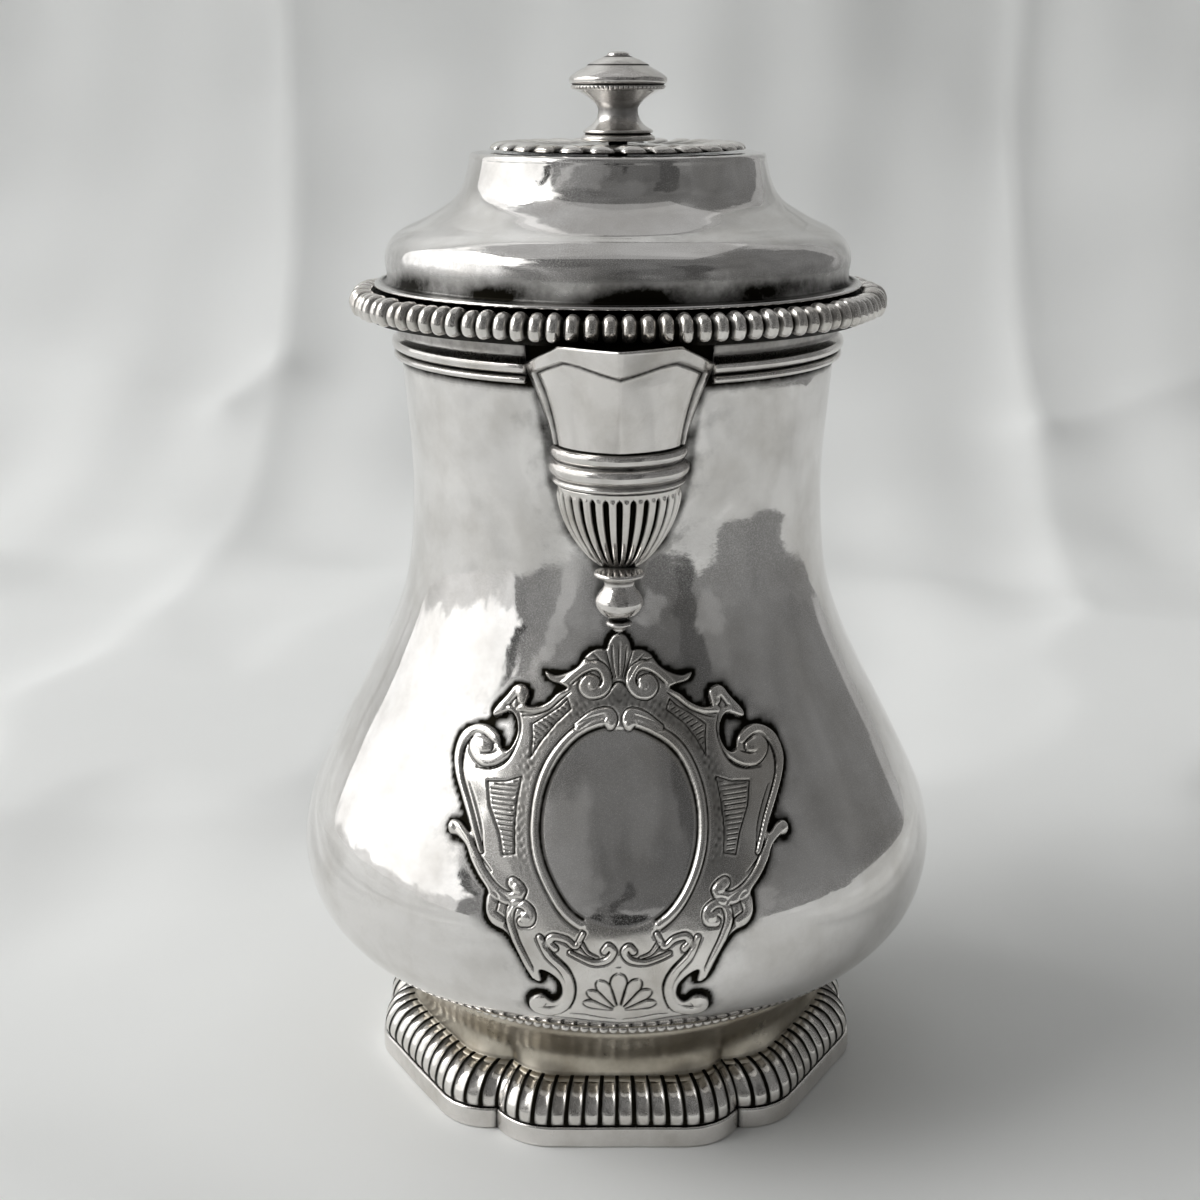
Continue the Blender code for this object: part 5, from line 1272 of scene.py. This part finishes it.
washer_low, washer_high = in_mm(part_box("finial_washer"))
WASHER_RADIUS = (washer_high[0] - washer_low[0]) / 2
washer = rounded([(STUD_HOLE, washer_high[2]), (WASHER_RADIUS, washer_high[2]),
                  (WASHER_RADIUS, washer_low[2]), (STUD_HOLE, washer_low[2])], 0.25, 3)
points, faces = lathe(washer, full_turn(96))
piece("knob_washer", points, faces, dull_silver_darkened_as_shade, "lid", ["finial_washer"])

nut_low, nut_high = in_mm(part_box("finial_nut"))
NUT_RADIUS, NUT_SIDES = 4.2, 6
turn = full_turn(72)
hexagon = math.cos(math.pi / NUT_SIDES) / np.cos(turn % (math.tau / NUT_SIDES) - math.pi / NUT_SIDES)
rows = []
hole_share = STUD_HOLE / NUT_RADIUS
for share, height in ((hole_share, nut_high[2]), (0.90, nut_high[2]), (1.0, nut_high[2] - 0.3),
                      (1.0, nut_low[2] + 0.5), (0.95, nut_low[2] + 0.15), (0.86, nut_low[2]),
                      (hole_share + 0.06, nut_low[2]), (hole_share, nut_low[2] + 0.25)):
    radius = NUT_RADIUS * (np.minimum(share, hexagon * 1.02) if share > 0.7 else np.full(72, share))
    rows.append(around(turn, np.minimum(radius, NUT_RADIUS * hexagon), np.full(72, height)))
nut = np.array(rows)
piece("knob_nut", nut, quads(*nut.shape[:2]), dull_silver_darkened_as_shade, "lid", ["finial_nut"])


# ------------------------------------------------------------------------------------ hinge
# A book hinge at the back of the neck: two knuckles on a bracket, one on the lid's leaf, and
# a pin through all three. Silver, filed up from thick plate and tube.

for name in ("hinge_bracket", "hinge_leaf", "hinge_pin"):
    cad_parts[name].data.materials.clear()
    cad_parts[name].data.materials.append(plinth_silver)


# ------------------------------------------------------------------------ floor and backdrop
# Not part of the pot: a sheet of pale paper that lies flat and sweeps up behind.

paper = bpy.data.materials.new("pale_paper")
paper.use_nodes = True
tree = paper.node_tree
shader = tree.nodes["Principled BSDF"]
place = add(tree, "TexCoord").outputs["Object"]
creases = add(tree, "TexNoise", {"Vector": place, "Scale": per_size(260), "Detail": 4.0,
                                 "Roughness": 0.5}).outputs["Fac"]
tone = add(tree, "ValToRGB", {"Fac": creases})
tone.color_ramp.elements[0].position, tone.color_ramp.elements[0].color = 0.3, linear("#EDEEED")
tone.color_ramp.elements[1].position, tone.color_ramp.elements[1].color = 0.7, linear("#F5F6F5")
tree.links.new(tone.outputs[0], shader.inputs["Base Color"])
shader.inputs["Roughness"].default_value = 0.7
paper_bump = add(tree, "Bump", {"Height": creases, "Strength": 0.2, "Distance": 0.01})
tree.links.new(paper_bump.outputs[0], shader.inputs["Normal"])

SWEEP_START, SWEEP_RADIUS, SWEEP_LENGTH = 420.0, 260.0, 1700.0
# Folds pressed into the sheet: two ends of each, as a place across it and a distance along it
# from the pot, its height, and how far it spreads, all in mm.
FOLDS = [((-180, 1000), (-165, 585), 7.0, 26), ((-165, 585), (-190, 548), 5.0, 20),
         ((-165, 590), (-172, 110), 6.0, 34), ((-190, 548), (-420, 640), 7.0, 34),
         ((-600, 98), (-80, 98), 2.6, 12), ((75, 78), (118, 90), 2.0, 9),
         ((118, 90), (600, 150), 2.8, 14), ((235, 1000), (213, 535), 7.0, 24),
         ((213, 535), (156, 130), 6.0, 30), ((213, 535), (420, 640), 5.0, 30)]
# The sheet's mesh is finest near the pot.
across = np.concatenate([np.linspace(-900, -340, 18), np.linspace(-330, 330, 122),
                         np.linspace(342, 620, 14)])
along = np.concatenate([np.linspace(-700, -120, 20), np.linspace(-110, 760, 150),
                        np.linspace(780, SWEEP_LENGTH, 24)])
sheet_xy = np.stack(np.meshgrid(across, along), -1)
flat = sheet_xy.reshape(-1, 2)
lifted = 5.0 * unevenness(flat, 130, 71) + 1.6 * unevenness(flat, 45, 72)
for start, end, tall, spread in FOLDS:
    gap, _ = nearest(flat, flowing([start, (np.array(start) + end) / 2 + 0.02 * spread, end], 4))
    lifted += tall * np.exp(-gap / spread) - 0.6 * tall * np.exp(-(gap / spread / 2) ** 2)
clear_of_pot = np.clip((np.hypot(flat[:, 0], flat[:, 1] - AXIS_Y) - 70) / 90, 0, 1)
lifted *= clear_of_pot ** 2 * (3 - 2 * clear_of_pot)
lifted = np.where(flat[:, 1] < SWEEP_START, np.minimum(lifted, 3.0), lifted) - 0.02
bend = np.clip((flat[:, 1] - SWEEP_START) / SWEEP_RADIUS, 0, math.pi / 2)
beyond = np.clip(flat[:, 1] - SWEEP_START - SWEEP_RADIUS * math.pi / 2, 0, None)
y = np.minimum(flat[:, 1], SWEEP_START) + SWEEP_RADIUS * np.sin(bend) - lifted * np.sin(bend)
z = SWEEP_RADIUS * (1 - np.cos(bend)) + beyond + lifted * np.cos(bend)
# The sheet's near and side edges are torn, as the silver shows.
torn = 22 * unevenness(flat, 170, 73)
x = flat[:, 0] + torn * np.clip(abs(flat[:, 0]) / 300 - 1.0, 0, 1)
y = y + torn * np.clip(-flat[:, 1] / 400 - 0.5, 0, 1)
sheet_points = (np.stack([x, y, z], 1) / 1000).reshape(*sheet_xy.shape[:2], 3)
mesh = bpy.data.meshes.new("paper_sweep")
mesh.from_pydata(sheet_points.reshape(-1, 3).tolist(), [], quads(*sheet_points.shape[:2], False, False))
mesh.shade_smooth()
mesh.materials.append(paper)
floor = bpy.data.objects.new("paper_sweep", mesh)
bpy.context.scene.collection.objects.link(floor)


# ------------------------------------------------------------------------- light and camera
# A pale cloth tent with a ragged opening to a bright window on the left. The rest of the tent is
# grey, darkest towards the camera, and hangs in folds, so its edges are ragged in the silver.

lamp = bpy.data.lights.new("ceiling", "AREA")
lamp.shape, lamp.size, lamp.size_y = "RECTANGLE", 1.3, 1.1
CEILING_RADIANCE = 0.22
lamp.energy = CEILING_RADIANCE * math.pi * lamp.size * lamp.size_y
ceiling = bpy.data.objects.new("ceiling", lamp)
ceiling.location = (-0.1, 0.15, 1.25)
bpy.context.scene.collection.objects.link(ceiling)

# A strip light above and behind the pot faces away from it and brightens only the backdrop.
strip = bpy.data.lights.new("backdrop_strip", "AREA")
strip.shape, strip.size, strip.size_y = "RECTANGLE", 0.9, 0.25
STRIP_RADIANCE = 2.7
strip.energy = STRIP_RADIANCE * math.pi * strip.size * strip.size_y
strip_light = bpy.data.objects.new("backdrop_strip", strip)
strip_light.location = (-0.38, 0.22, 0.90)
strip_light.rotation_euler = (math.radians(70), 0, 0)
bpy.context.scene.collection.objects.link(strip_light)

# Panels of the tent: azimuths from the camera's side, positive to its right, then elevations,
# all in degrees; how much the panel leans to the left per degree upwards; and its radiance.
PANELS_OF_TENT = [
    (-180, 180, 52, 91, 0.0, 0.24), (-60, 70, 24, 91, 0.0, 0.15), (-46, -8, -30, 34, 0.2, 0.24),
    (-33, -24, -12, 30, 0.6, 0.40), (-8, 30, -30, 30, 0.0, 0.12), (-16, -3, 3, 17, 0.9, 0.26),
    (7, 26, -4, 9, 0.3, 0.25), (-1, 4, 8, 24, -0.2, 0.05), (30, 47, -14, 38, 0.0, 0.075),
    (47, 61, -4, 14, 0.3, 0.28), (61, 126, -2, 60, 0.0, 0.175), (47, 180, -30, -2, 0.0, 0.20),
    (126, 180, -5, 54, 0.0, 0.40), (-180, -128, -30, 54, 0.0, 0.75), (-10, -4, -5, 4, 0.0, 0.02),
    (1, 9, -6, 5, 0.0, 0.015), (-138, -55, -30, 54, -0.1, 0.80), (-136, -57, 1, 50, -0.1, 1.35),
    (-116, -60, 26, 52, 0.0, 5.0), (-56.5, -48, 7, 24, 0.42, 0.035),
]
world = bpy.data.worlds.new("cloth_tent")
bpy.context.scene.world = world
world.use_nodes = True
tree = world.node_tree
way = add(tree, "TexCoord").outputs["Generated"]
x, y, z = add(tree, "SeparateXYZ", {0: way}).outputs


def sum_of(value, factor, other):
    """value times factor plus other, as a shader value."""
    return add(tree, "Math", {0: value, 1: factor, 2: other}, operation="MULTIPLY_ADD").outputs[0]


def ragged_angle(angle, size, shift):
    """An angle in radians turned to degrees and frayed like the edge of a hanging cloth."""
    moved = add(tree, "Mapping", {"Vector": way, "Location": (shift, 0.0, 0.0)}).outputs[0]
    fray = add(tree, "TexNoise", {"Vector": moved, "Scale": 3.4, "Detail": 6.0, "Roughness": 0.60})
    return sum_of(fray.outputs["Fac"], size, sum_of(angle, math.degrees(1), -size / 2))


southward = add(tree, "Math", {0: y, 1: -1.0}, operation="MULTIPLY").outputs[0]
azimuth = add(tree, "Math", {0: x, 1: southward}, operation="ARCTAN2").outputs[0]
azimuth = ragged_angle(azimuth, 34.0, 0.0)
elevation = ragged_angle(add(tree, "Math", {0: z}, operation="ARCSINE").outputs[0], 28.0, 5.0)
folds = add(tree, "TexNoise", {"Vector": way, "Scale": 2.6, "Detail": 3.0, "Distortion": 0.6})
mottle = add(tree, "MapRange", {"Value": folds.outputs["Fac"], "From Min": 0.3, "From Max": 0.7,
                                "To Min": 0.82, "To Max": 1.18}).outputs[0]
EDGE = 0.9                       # half the softness of a panel's edge, in degrees
PLAIN_ROOM = 0.62                # radiance of the room where the camera looks past the paper
tone = 0.20                      # radiance of the tent where no panel hangs
for left, right, low, high, slant, radiance in PANELS_OF_TENT:
    leaned = sum_of(elevation, slant, azimuth)
    mask = None
    for angle, limit, rising in ((leaned, left, 1), (leaned, right, 0),
                                 (elevation, low, 1), (elevation, high, 0)):
        if abs(limit) in (91, 180):              # no edge: the panel runs on right round
            continue
        side = add(tree, "MapRange", {"Value": angle, "From Min": limit - EDGE,
                                      "From Max": limit + EDGE, "To Min": 1.0 - rising,
                                      "To Max": float(rising)}).outputs[0]
        if mask is not None:
            side = add(tree, "Math", {0: mask, 1: side}, operation="MULTIPLY").outputs[0]
        mask = side
    tone = add(tree, "Mix", {0: mask, 2: tone, 3: radiance}).outputs[0]
tone = add(tree, "Math", {0: tone, 1: mottle}, operation="MULTIPLY").outputs[0]
# Only the silver shows the tent; from the back and sides the room beyond the paper is plain.
seen = add(tree, "LightPath").outputs["Is Camera Ray"]
tone = add(tree, "Mix", {0: seen, 2: tone, 3: PLAIN_ROOM}).outputs[0]
tree.links.new(tone, tree.nodes["Background"].inputs["Strength"])
tree.nodes["Background"].inputs["Color"].default_value = linear("#FFFFFE")

CAMERA_PITCH = math.radians(15.75)
lens = bpy.data.cameras.new("camera")
lens.lens, lens.sensor_width = 55.5, 36.0        # millimetres
camera = bpy.data.objects.new("camera", lens)
camera.location = (-0.00335, AXIS_Y / 1000 - 0.3564, 0.1952)
camera.rotation_euler = (math.pi / 2 - CAMERA_PITCH, 0, 0)
bpy.context.scene.collection.objects.link(camera)
bpy.context.scene.camera = camera
bpy.context.scene.view_settings.view_transform = "Standard"
